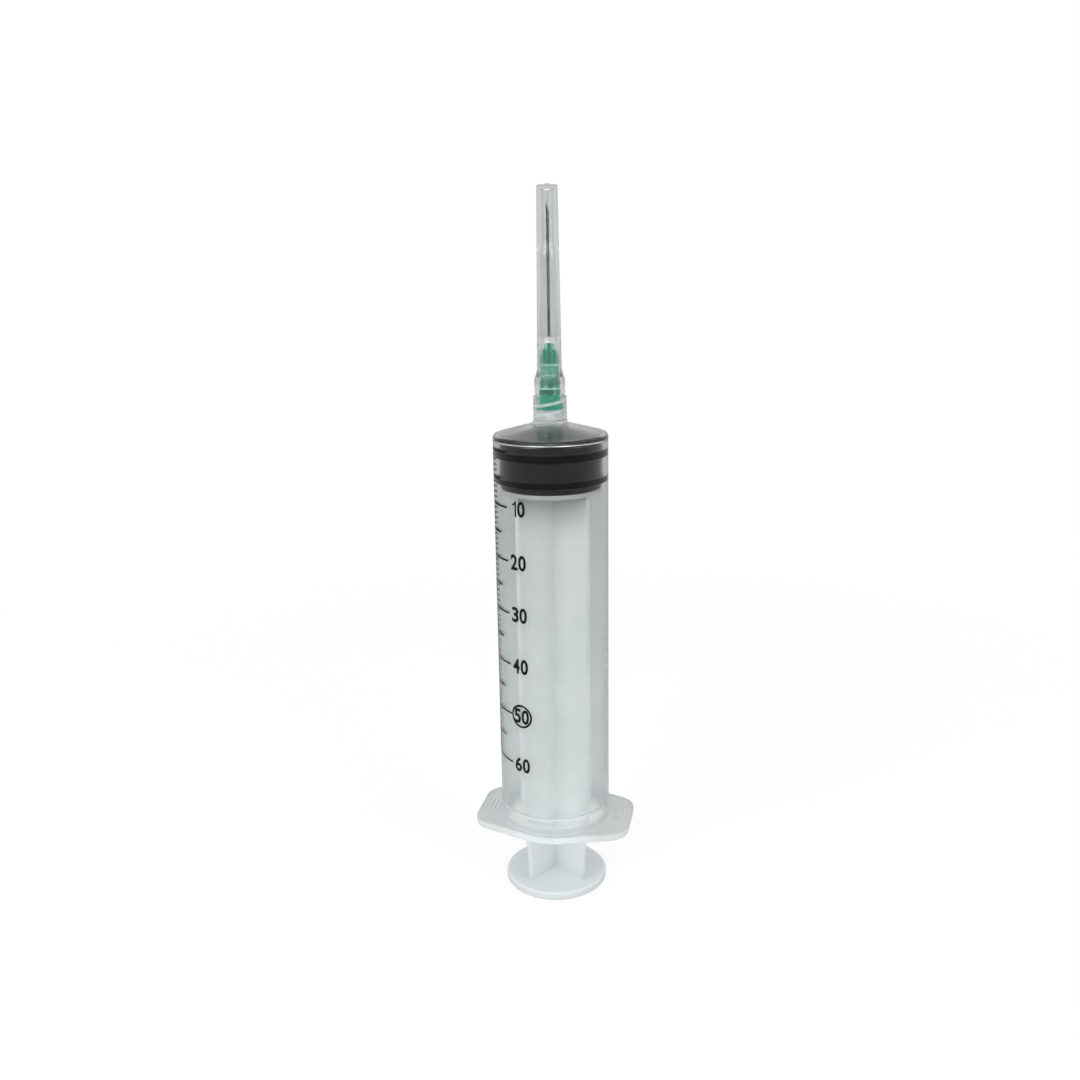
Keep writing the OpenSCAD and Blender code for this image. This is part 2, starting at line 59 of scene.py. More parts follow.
MM = 0.001
ORIGIN = (0, 0, 0)
AXIS = (0, 0, 1)
LATHE_STEPS = 144
CAP_LATHE_STEPS = 96
SMALL_LATHE_STEPS = 72
THIN_LATHE_STEPS = 48
RING_STEPS = 96
RIDGE_STEPS = 32
ARC_STEP = math.radians(12)
TINY = 1e-4
TEXT_TINY = 1e-5
PAST = 1.0
SMOOTH_ANGLE = math.radians(32)
SHARP_ANGLE = math.radians(40)
FLAT_ANGLE = math.radians(0.2)
UPRIGHT = Matrix.Rotation(math.pi / 2, 4, "X")
SHOULDER_SLOPE = 3.0 / 11.25
LUER_TAPER = 0.03
PHOTO_TURN = 12.0

Point = tuple[float, float]
Triple = tuple[float, float, float]
Levels = tuple[Point, ...]
Corner = Point | Triple

ALWAYS: Levels = ((0.0, 1.0),)
NEVER: Levels = ((0.0, 0.0),)


class Join(Enum):
    """How one solid is combined with others."""

    UNION = "UNION"
    DIFFERENCE = "DIFFERENCE"


def rounded(corners: Sequence[Corner], closed: bool = True) -> list[Point]:
    """Points of an outline whose corners are rounded by arcs.

    Args:
        corners: The corners in order: how far across and up, and the radius that rounds it, if any.
        closed: Whether the last corner joins the first.

    Returns:
        The points, with the arcs stepped finely.
    """
    places = [Vector(corner[:2]) for corner in corners]
    points: list[Point] = []
    for i, (here, corner) in enumerate(zip(places, corners)):
        if len(corner) == 2 or (not closed and i in (0, len(corners) - 1)):
            points.append(tuple(here))
            continue
        rounding = corner[2]
        back = (places[i - 1] - here).normalized()
        ahead = (places[(i + 1) % len(places)] - here).normalized()
        half = back.angle(ahead) / 2
        centre = here + (back + ahead).normalized() * rounding / math.sin(half)
        reach = rounding / math.tan(half)
        start, end = here + back * reach - centre, here + ahead * reach - centre
        arc = start.angle_signed(end)
        steps = max(2, math.ceil(abs(arc) / ARC_STEP))
        for k in range(steps + 1):
            spoke = start.copy()
            spoke.rotate(Matrix.Rotation(-arc * k / steps, 2))
            points.append(tuple(centre + spoke))
    return points


def mirrored(half: Sequence[Point]) -> list[Point]:
    """A whole outline from its right half, which runs upwards."""
    return [*half, *((-across, up) for across, up in reversed(half))]


def lathe(outline: Sequence[Point], closed: bool = True, steps: int = LATHE_STEPS) -> BMesh:
    """A solid of revolution about the barrel's axis.

    Args:
        outline: Points as (radius, height). An open outline starts and ends on the axis.
        closed: Whether the outline is a ring of its own, clear of the axis.
        steps: Faces round the turn.

    Returns:
        The solid, with its faces outwards.
    """
    bm = bmesh.new()
    verts = [bm.verts.new((across, 0, up)) for across, up in outline]
    pairs = list(zip(verts, verts[1:])) + ([(verts[-1], verts[0])] if closed else [])
    edges = [bm.edges.new(pair) for pair in pairs]
    bmesh.ops.spin(bm, geom=verts + edges, cent=ORIGIN, axis=AXIS, angle=2 * math.pi, steps=steps,
                   use_merge=True)
    bmesh.ops.remove_doubles(bm, verts=bm.verts, dist=TINY)
    bmesh.ops.recalc_face_normals(bm, faces=bm.faces)
    return bm


def turned(corners: Sequence[Corner], closed: bool = True, steps: int = LATHE_STEPS) -> BMesh:
    """A solid of revolution whose outline has rounded corners."""
    return lathe(rounded(corners, closed), closed, steps)


def drum(radius: float, low: float, high: float, steps: int) -> BMesh:
    """A plain cylinder about the axis, for cutting and joining."""
    return lathe([(0, low), (radius, low), (radius, high), (0, high)], False, steps)


def swept(section: Sequence[Point], degrees: float, steps: int, rise: float = 0.0) -> BMesh:
    """A flat section swept round the axis.

    Args:
        section: Points as (radius, height).
        degrees: How far round it goes.
        steps: Faces along the way.
        rise: How far it climbs.

    Returns:
        The solid, with its normals not yet set.
    """
    bm = bmesh.new()
    face = bm.faces.new([bm.verts.new((across, 0, up)) for across, up in section])
    bmesh.ops.spin(bm, geom=[face], cent=ORIGIN, axis=AXIS, angle=math.radians(degrees),
                   steps=steps, dvec=(0, 0, rise / steps))
    return bm


def about_axis(degrees: float) -> Matrix:
    """A turn about the barrel's axis."""
    return Matrix.Rotation(math.radians(degrees), 4, "Z")


def moved(bm: BMesh, place: Matrix) -> BMesh:
    """Moves a solid, and gives it back."""
    bmesh.ops.transform(bm, matrix=place, verts=bm.verts)
    return bm


def soften(bm: BMesh, width: float, segments: int = 2) -> None:
    """Rounds the sharp edges of a solid.

    Args:
        bm: The solid.
        width: Width of the rounding.
        segments: Faces across the rounding.
    """
    sharp = [e for e in bm.edges if len(e.link_faces) == 2 and e.calc_face_angle() > SHARP_ANGLE]
    bmesh.ops.bevel(bm, geom=sharp, offset=width, offset_type="OFFSET", affect="EDGES",
                    segments=segments, profile=0.5, material=-1, clamp_overlap=True)


def plate(outline: Sequence[Point], thickness: float, place: Matrix, edge: float = 0.0) -> BMesh:
    """A flat plate cut to an outline, centred on its own plane.

    Args:
        outline: Points as (x, y) in the plate's plane.
        thickness: Thickness along the plate's own Z.
        place: Where the plate goes.
        edge: Width of the rounding of its edges.

    Returns:
        The solid.
    """
    bm = bmesh.new()
    face = bm.faces.new([bm.verts.new((x, y, -thickness / 2)) for x, y in outline])
    wall = bmesh.ops.extrude_face_region(bm, geom=[face])
    top = [v for v in wall["geom"] if isinstance(v, BMVert)]
    bmesh.ops.translate(bm, verts=top, vec=(0, 0, thickness))
    bmesh.ops.recalc_face_normals(bm, faces=bm.faces)
    if edge > 0:
        soften(bm, edge)
    return moved(bm, place)


def box(size: Triple, middle: Triple, edge: float = 0.0) -> BMesh:
    """A block.

    Args:
        size: Its size along each axis.
        middle: Its middle.
        edge: Width of the rounding of its edges.

    Returns:
        The solid.
    """
    bm = bmesh.new()
    bmesh.ops.create_cube(bm, size=1.0)
    bmesh.ops.scale(bm, vec=size, verts=bm.verts)
    if edge > 0:
        soften(bm, edge)
    return moved(bm, Matrix.Translation(middle))


def four_blocks(reach: Point, wide: float, heights: Point, edge: float) -> list[BMesh]:
    """Four upright blocks round the axis, for the cap's keys and the hub's slots.

    Args:
        reach: Distance from the axis of their inner and outer faces.
        wide: Their width.
        heights: Heights of their ends.
        edge: Width of the rounding of their edges.

    Returns:
        The blocks.
    """
    (inner, outer), (low, high) = reach, heights
    size = (outer - inner, wide, high - low)
    middle = ((outer + inner) / 2, 0, (low + high) / 2)
    return [moved(box(size, middle, edge), about_axis(45 + 90 * i)) for i in range(4)]


def cut(bm: BMesh, place: Triple, facing: Vector | Triple, clear: bool = False) -> list[BMEdge]:
    """Cuts all faces of a mesh by a plane.

    Args:
        bm: The mesh.
        place: A point of the plane.
        facing: The plane's normal.
        clear: Whether the side that the plane faces is taken away.

    Returns:
        The new edges.
    """
    made = bmesh.ops.bisect_plane(bm, geom=bm.verts[:] + bm.edges[:] + bm.faces[:], dist=TINY,
                                  plane_co=place, plane_no=facing, clear_outer=clear)
    return [e for e in made["geom_cut"] if isinstance(e, BMEdge)]


def loose_object(bm: BMesh, name: str) -> Object:
    """Makes an object of a bmesh.

    Args:
        bm: The bmesh, which is used up.
        name: Name of the object and its mesh.

    Returns:
        The object, in the scene.
    """
    mesh = bpy.data.meshes.new(name)
    bm.to_mesh(mesh)
    bm.free()
    thing = bpy.data.objects.new(name, mesh)
    bpy.context.scene.collection.objects.link(thing)
    return thing


def combined(base: BMesh, tools: Iterable[BMesh], join: Join) -> BMesh:
    """One solid made of a base and tools, which are used up.

    Args:
        base: The solid that is changed.
        tools: The solids that are joined to it or cut from it, one after the other.
        join: How they are combined.

    Returns:
        The combined solid.
    """
    block = loose_object(base, "base")
    helpers = [loose_object(tool, f"tool_{i}") for i, tool in enumerate(tools)]
    for helper in helpers:
        step = block.modifiers.new(helper.name, "BOOLEAN")
        step.object = helper
        step.operation = join.value
        step.solver = "MANIFOLD"
    bm = bmesh.new()
    bm.from_object(block, bpy.context.evaluated_depsgraph_get())
    for thing in [block, *helpers]:
        mesh = thing.data
        bpy.data.objects.remove(thing)
        bpy.data.meshes.remove(mesh)
    bmesh.ops.remove_doubles(bm, verts=bm.verts, dist=TINY)
    return bm


def gathered(parts: Iterable[BMesh]) -> BMesh:
    """Several separate solids in one bmesh.

    Args:
        parts: The solids, which are used up.

    Returns:
        The bmesh that holds them all.
    """
    whole = bmesh.new()
    for part in parts:
        carrier = bpy.data.meshes.new("carrier")
        part.to_mesh(carrier)
        part.free()
        whole.from_mesh(carrier)
        bpy.data.meshes.remove(carrier)
    return whole


@dataclass(frozen=True)
class Noise:
    """A noise over a piece, with features of 1 / scale metres."""

    scale: float
    detail: float
    stretch: Triple = (1, 1, 1)


class Graph:
    """The nodes of one material or of the world."""

    def __init__(self, owner: Material | World, place: str = "Object") -> None:
        """Starts with nothing but coordinates.

        Args:
            owner: The material or world, whose old nodes go.
            place: Which coordinates the noises and levels use.
        """
        owner.use_nodes = True
        self.tree = owner.node_tree
        self.tree.nodes.clear()
        self.place = self.add("ShaderNodeTexCoord").outputs[place]

    def add(self, kind: str, settings: dict | None = None,
            numbered: dict[int, object] | None = None, **named: object) -> Node:
        """Adds a node.

        Args:
            kind: The node's type.
            settings: The node's own properties.
            numbered: Values or linked sockets, by the input's number.
            **named: The same by the input's name, with spaces as underscores.

        Returns:
            The node.
        """
        node = self.tree.nodes.new(kind)
        for name, value in (settings or {}).items():
            setattr(node, name, value)
        given = {name.replace("_", " "): value for name, value in named.items()}
        for key, value in {**given, **(numbered or {})}.items():
            socket = node.inputs[key]
            if isinstance(value, NodeSocket):
                self.tree.links.new(value, socket)
            else:
                socket.default_value = (*value, 1.0) if socket.type == "RGBA" else value
        return node

    def noise(self, kind: Noise) -> NodeSocket:
        """A noise from 0 to 1."""
        where = self.add("ShaderNodeMapping", Vector=self.place, Scale=kind.stretch)
        return self.add("ShaderNodeTexNoise", Vector=where.outputs["Vector"], Scale=kind.scale,
                        Detail=kind.detail).outputs["Fac"]

    def spread(self, value: NodeSocket, low: float, high: float,
               first: float = 0.3, last: float = 0.7) -> NodeSocket:
        """Maps a value from first..last to low..high; most of a noise is in 0.3..0.7."""
        return self.add("ShaderNodeMapRange", Value=value, From_Min=first, From_Max=last,
                        To_Min=low, To_Max=high).outputs["Result"]

    def maths(self, operation: str, first: object, second: object) -> NodeSocket:
        """A number worked out from two others."""
        inputs = {0: first, 1: second}
        return self.add("ShaderNodeMath", {"operation": operation}, inputs).outputs[0]

    def vector(self, operation: str, first: object, second: object = ORIGIN) -> Node:
        """A node that works something out from one vector or two."""
        return self.add("ShaderNodeVectorMath", {"operation": operation}, {0: first, 1: second})

    def bump(self, height: NodeSocket, depth: float) -> NodeSocket:
        """A normal bent by a height of that depth in metres."""
        return self.add("ShaderNodeBump", Height=height, Distance=depth).outputs["Normal"]

    def along(self, distance: NodeSocket, levels: Levels) -> NodeSocket | float:
        """A value that changes with a distance.

        Args:
            distance: The distance in metres.
            levels: Pairs of a distance in millimetres and the value there.

        Returns:
            The value, a plain number where only one pair is given.
        """
        level: NodeSocket | float = levels[0][1]
        for (low, before), (high, after) in zip(levels, levels[1:]):
            if before != after:
                step = self.spread(distance, 0.0, after - before, low * MM, high * MM)
                level = self.maths("ADD", step, level)
        return level

    def by_height(self, levels: Levels) -> NodeSocket | float:
        """A value by the height above the floor."""
        return self.along(self.add("ShaderNodeSeparateXYZ", Vector=self.place).outputs["Z"], levels)

    def by_radius(self, levels: Levels) -> NodeSocket | float:
        """A value by the distance from the barrel's axis."""
        flat = self.vector("MULTIPLY", self.place, (1.0, 1.0, 0.0)).outputs["Vector"]
        return self.along(self.vector("LENGTH", flat).outputs["Value"], levels)

    def shaded(self, colour: NodeSocket, level: object) -> NodeSocket:
        """A colour made darker or lighter by a value."""
        return self.add("ShaderNodeVectorMath", {"operation": "SCALE"}, Vector=colour,
                        Scale=level).outputs["Vector"]

    def where(self, flag: NodeSocket, otherwise: object, value: object) -> NodeSocket:
        """One value where a flag is set, and another where it isn't."""
        inputs = {0: flag, 2: otherwise, 3: value}
        return self.add("ShaderNodeMix", {"data_type": "FLOAT"}, inputs).outputs[0]

    def tint(self, share: object, first: object, second: object) -> NodeSocket:
        """Mixes two colours."""
        inputs = {0: share, 6: first, 7: second}
        return self.add("ShaderNodeMix", {"data_type": "RGBA"}, inputs).outputs[2]

    def blend(self, share: object, first: NodeSocket, second: NodeSocket) -> NodeSocket:
        """Mixes two shaders."""
        return self.add("ShaderNodeMixShader", {}, {0: share, 1: first, 2: second}).outputs[0]

    def lets_lamps_through(self, skin: NodeSocket, share: float) -> NodeSocket:
        """The skin, with a share of the lamps' light passing it instead of a full shadow."""
        passing = self.add("ShaderNodeBsdfTransparent", Color=(share, share, share)).outputs[0]
        return self.blend(self.add("ShaderNodeLightPath").outputs["Is Shadow Ray"], skin, passing)


class Body(Enum):
    """The rigid bodies of the frame that pieces ride on."""

    BARREL = "barrel"
    STOPPER = "stopper"
    ROD = "plunger_rod"
    BEAD = "bond_bead"
    NEEDLE = "needle"
    CAP = "needle_cap"


def piece(bm: BMesh, name: str, finish: Material, body: Body,
          stands_for: str = "") -> None:
    """Makes a bmesh a finished piece of the object.

    Args:
        bm: The piece in millimetres, which is used up.
        name: Name of its object.
        finish: Its material.
        body: The rigid body that carries it.
        stands_for: The CAD node that it takes the place of, if any.
    """
    bmesh.ops.scale(bm, vec=(MM, MM, MM), verts=bm.verts)
    thing = loose_object(bm, name)
    thing.data.shade_smooth()
    thing.data.set_sharp_from_angle(angle=SMOOTH_ANGLE)
    thing.data.materials.append(finish)
    thing.modifiers.new("flat faces stay flat", "WEIGHTED_NORMAL").keep_sharp = True
    if stands_for:
        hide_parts(stands_for)
    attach(thing, body.value)
    log.info("%s rides on %s, %d faces", name, body.value, len(thing.data.polygons))


@dataclass(frozen=True)
class Surface:
    """A material's name, and what makes its nodes."""

    name: str

    def surface(self, graph: Graph) -> NodeSocket:
        """The surface, made of that graph's nodes."""
        raise NotImplementedError(self.name)

    def material(self) -> Material:
        """Makes the material.

        Returns:
            The material.
        """
        material = bpy.data.materials.new(self.name)
        graph = Graph(material)
        graph.add("ShaderNodeOutputMaterial", Surface=self.surface(graph))
        return material


@dataclass(frozen=True)
class Finish(Surface):
    """What the finishes have in common: two colours that a noise mixes, gloss and a fine grain."""

    first: Triple
    second: Triple
    roughness: Point
    grain: float

    def mottled(self, graph: Graph, noise: NodeSocket) -> NodeSocket:
        """The two colours, mixed by a noise."""
        return graph.tint(graph.spread(noise, 0, 1), self.first, self.second)

    def skin(self, graph: Graph, colour: object, fine: NodeSocket, **named: object) -> NodeSocket:
        """A surface with that colour, grain by a noise, and gloss by it if it isn't named."""
        inputs = {"Roughness": graph.spread(fine, *self.roughness), **named}
        return graph.add("ShaderNodeBsdfPrincipled", Base_Color=colour,
                         Normal=graph.bump(fine, self.grain), **inputs).outputs["BSDF"]


@dataclass(frozen=True)
class ClearPlastic(Finish):
    """Moulded plastic that lets light through and scatters some of it."""

    clear_by_height: Levels
    # painted shade: the colour is scaled down by height
    shade_by_height: Levels = ALWAYS
    frost_by_height: Levels = NEVER
    # pale colour: by height it paints highlights; by radius it makes thin fins paler
    pale: Triple = (0.8, 0.8, 0.8)
    pale_by_height: Levels = NEVER
    pale_by_radius: Levels = NEVER
    cloudy_by_radius: Levels = NEVER
    radial_above: float = 0.0
    radial_blend: float = 0.1
    ior: float = 1.49
    passes: float = 0.96
    cloud: Noise = Noise(70, 2)
    fine: Noise = Noise(700, 2)
    haze: Noise = Noise(240, 2)
    haze_varies: float = 0.015

    def plus_radial(self, graph: Graph, value: object, levels: Levels) -> NodeSocket:
        """Adds a value by the distance from the axis, above the height where such values start.

        Args:
            graph: The material's nodes.
            value: What it is added to.
            levels: Pairs of a distance in millimetres and the value there.

        Returns:
            The sum.
        """
        low, high = self.radial_above - self.radial_blend, self.radial_above
        starts = graph.by_height(((low, 0.0), (high, 1.0)))
        return graph.maths("ADD", value, graph.maths("MULTIPLY", graph.by_radius(levels), starts))

    def surface(self, graph: Graph) -> NodeSocket:
        """The plastic, which lamps shine through: its haze by height, painted shade and painted
        highlights set its brightness, and in the hub's nose the core scatters more light than the
        paler fins.

        Args:
            graph: The material's nodes.

        Returns:
            The surface.
        """
        fine = graph.noise(self.fine)
        patchy = graph.spread(graph.noise(self.haze), -self.haze_varies, self.haze_varies)
        clear = graph.maths("ADD", graph.by_height(self.clear_by_height), patchy)
        clear = self.plus_radial(graph, clear, self.cloudy_by_radius)
        # painted highlights by height, and paler thin fins by radius, mixed into the colour
        pale = self.plus_radial(graph, graph.by_height(self.pale_by_height), self.pale_by_radius)
        colour = graph.tint(pale, self.mottled(graph, graph.noise(self.cloud)), self.pale)
        rough = graph.maths("ADD", graph.spread(fine, *self.roughness),
                            graph.by_height(self.frost_by_height))
        # painted shade: the colour is scaled down by height here
        skin = self.skin(graph, graph.shaded(colour, graph.by_height(self.shade_by_height)), fine,
                         Roughness=rough, Transmission_Weight=clear, IOR=self.ior)
        return graph.lets_lamps_through(skin, self.passes)


@dataclass(frozen=True)
class MilkyPlastic(Finish):
    """Natural polypropylene, in which light spreads."""

    depth: float
    inner: float
    clear: float
    # painted shade: the colour is scaled down by height
    shade_by_height: Levels = ALWAYS
    cool: Triple = (0.9, 0.95, 0.96)
    cool_by_height: Levels = NEVER
    passes: float = 0.75
    flow: Noise = Noise(45, 3, (1, 1, 0.25))
    fine: Noise = Noise(600, 2)

    def surface(self, graph: Graph) -> NodeSocket:
        """The plastic with its faint flow marks, cooler by height, with painted shade by height.

        Args:
            graph: The material's nodes.

        Returns:
            The surface.
        """
        colour = graph.tint(graph.by_height(self.cool_by_height),
                            self.mottled(graph, graph.noise(self.flow)), self.cool)
        skin = self.skin(graph, graph.shaded(colour, graph.by_height(self.shade_by_height)),
                         graph.noise(self.fine), Subsurface_Weight=self.inner,
                         Subsurface_Radius=(1.0, 1.0, 1.0), Subsurface_Scale=self.depth,
                         Transmission_Weight=self.clear)
        return graph.lets_lamps_through(skin, self.passes)


@dataclass(frozen=True)
class Rubber(Finish):
    """Moulded rubber under a film of silicone oil, cloudy and finely grained."""

    shine: float = 0.15
    cloud: Noise = Noise(180, 4)
    fine: Noise = Noise(1500, 3)

    def surface(self, graph: Graph) -> NodeSocket:
        """The rubber."""
        cloud = graph.noise(self.cloud)
        return self.skin(graph, self.mottled(graph, cloud), graph.noise(self.fine),
                         Roughness=graph.spread(cloud, *self.roughness),
                         Specular_IOR_Level=self.shine)


@dataclass(frozen=True)
class Steel(Finish):
    """Drawn stainless tube, with fine marks along it."""

    # painted shade: the colour is scaled down by height
    shade_by_height: Levels
    drawn: Noise = Noise(3000, 3, (1, 1, 0.03))

    def surface(self, graph: Graph) -> NodeSocket:
        """The steel with its drawing marks and painted shade, darker towards the tip."""
        drawn, shade = graph.noise(self.drawn), graph.by_height(self.shade_by_height)
        return self.skin(graph, graph.shaded(self.mottled(graph, drawn), shade), drawn,
                         Metallic=1.0)


@dataclass(frozen=True)
class Ink(Finish):
    """Black print, a little thinner in places."""

    shine: float = 0.1
    patch: Noise = Noise(900, 3)

    def surface(self, graph: Graph) -> NodeSocket:
        """The ink."""
        patch = graph.noise(self.patch)
        return self.skin(graph, self.mottled(graph, patch), patch, Specular_IOR_Level=self.shine)


# Painted light and shade: the haze rises towards the flange, which lightens the lower tube, and the
# tube stays clear where the stopper rests; the shade levels paint the flange's top darker than its
# side; the pale bands paint highlights along the flange's top edge, the ridges, the tube's foot and
# the stop ring. The collar's foot is hazier than its top.
BARREL_CLEAR = ClearPlastic(
    "barrel polypropylene", (0.86, 0.885, 0.885), (0.82, 0.855, 0.855), (0.08, 0.14), 0.000005,
    clear_by_height=((21.4, 0.5), (25.0, 0.9), (25.5, 0.905), (25.7, 0.84), (26.2, 0.84),
                     (26.4, 0.91), (60.0, 0.965), (119.0, 1.015), (136.5, 1.01), (138.0, 0.85),
                     (140.5, 0.87), (142.0, 0.99)),
    shade_by_height=((20.9, 0.84), (21.4, 0.6), (21.6, 0.64), (24.0, 1.0)),
    frost_by_height=((30.0, 0.1), (119.0, 0.0)),
    pale=(0.95, 1.0, 1.0),
    pale_by_height=((21.2, 0.9), (21.42, 0.25), (21.52, 0.25), (21.65, 1.0), (22.1, 0.8),
                    (22.6, 0.0), (25.5, 0.0), (25.7, 0.5), (26.2, 0.5), (26.4, 0.0)))
# Painted highlight: the thread is hazier than the barrel, so it shows as pale lines.
THREAD_CLEAR = replace(BARREL_CLEAR, name="collar thread", clear_by_height=((0.0, 0.74),),
                       shade_by_height=ALWAYS)
# Painted light: the cap is hazier from 150 to 152 mm, which lightens the dark glints of its inner
# step there.
CAP_CLEAR = ClearPlastic(
    "cap plastic", (0.85, 0.87, 0.865), (0.82, 0.85, 0.84), (0.03, 0.07), 0.000002,
    clear_by_height=((149.3, 0.98), (150.0, 0.95), (152.0, 0.95), (153.5, 0.99)))
# Painted shade and highlights: the shade levels darken a ring above the collar, the stepped part
# below the block and the nose's root, lightening towards the nose's tip; the pale bands, with
# hazier plastic there, paint highlight lines at the socket's top step, the groove and the ring
# under the nose. The fins are paler and the nose's core cloudier, as thin and thick green plastic
# look.
HUB_GREEN = ClearPlastic(
    "hub polypropylene", (0.07, 0.80, 0.58), (0.05, 0.73, 0.50), (0.08, 0.14), 0.000003,
    clear_by_height=((147.0, 0.88), (147.2, 0.5), (147.45, 0.5), (147.6, 0.88), (150.6, 0.88),
                     (150.7, 0.65), (150.9, 0.65), (151.0, 0.88), (153.3, 0.88), (153.42, 0.55),
                     (153.85, 0.55), (153.95, 0.94)),
    shade_by_height=((145.6, 0.88), (145.9, 0.46), (147.05, 0.46), (147.25, 0.92), (147.5, 0.92),
                     (147.7, 0.6), (149.4, 0.6), (149.7, 0.8), (150.5, 0.8), (150.7, 0.92),
                     (150.9, 0.92), (151.1, 0.9), (153.2, 0.9), (153.42, 0.95), (153.85, 0.95),
                     (154.0, 0.64), (158.5, 0.82)),
    pale=(0.66, 0.95, 0.86),
    pale_by_height=((147.1, 0.0), (147.25, 0.8), (147.5, 0.8), (147.7, 0.1), (149.3, 0.1),
                    (149.6, 0.0), (150.55, 0.0), (150.7, 0.6), (150.9, 0.6), (151.05, 0.0),
                    (153.3, 0.0), (153.45, 0.9), (153.85, 0.9), (154.0, 0.0)),
    pale_by_radius=((1.7, 0.0), (1.95, 0.95)),
    cloudy_by_radius=((0.5, -0.3), (1.2, -0.05), (1.8, -0.05), (2.1, 0.02)),
    radial_above=154.0, passes=0.7)
# Painted shade: the rod darkens towards the stopper, the push disc is darker still, standing in for
# shade and the stopper's dark reflection, and the thumb rest is darker than the rod in the tube.
ROD_MILKY = MilkyPlastic(
    "rod polypropylene", (0.955, 0.96, 0.955), (0.92, 0.93, 0.93), (0.28, 0.4), 0.000008,
    depth=0.002, inner=0.4, clear=0.1,
    shade_by_height=((3.0, 0.70), (19.0, 0.715), (24.0, 0.815), (56.0, 0.825), (86.0, 0.80),
                     (108.0, 0.80), (118.0, 0.71), (119.0, 0.5)),
    cool=(0.89, 0.945, 0.955), cool_by_height=((18.0, 0.8), (26.0, 0.3), (110.0, 0.0)))
BEAD_PINK = MilkyPlastic("bond adhesive", (0.80, 0.75, 0.77), (0.72, 0.67, 0.69), (0.15, 0.25),
                         0.00001, depth=0.0005, inner=0.4, clear=0.3)
STOPPER_BLACK = Rubber("stopper rubber", (0.003, 0.0032, 0.0033), (0.006, 0.0064, 0.0066),
                       (0.45, 0.6), 0.000006)
# Painted shade: the needle darkens towards its tip.
NEEDLE_STEEL = Steel("needle steel", (0.30, 0.32, 0.315), (0.22, 0.235, 0.23), (0.22, 0.34),
                     0.000002, shade_by_height=((160.0, 0.9), (180.0, 0.8), (195.0, 0.65)))
SCALE_INK = Ink("scale ink", (0.004, 0.004, 0.005), (0.011, 0.011, 0.012), (0.5, 0.65), 0.000003)


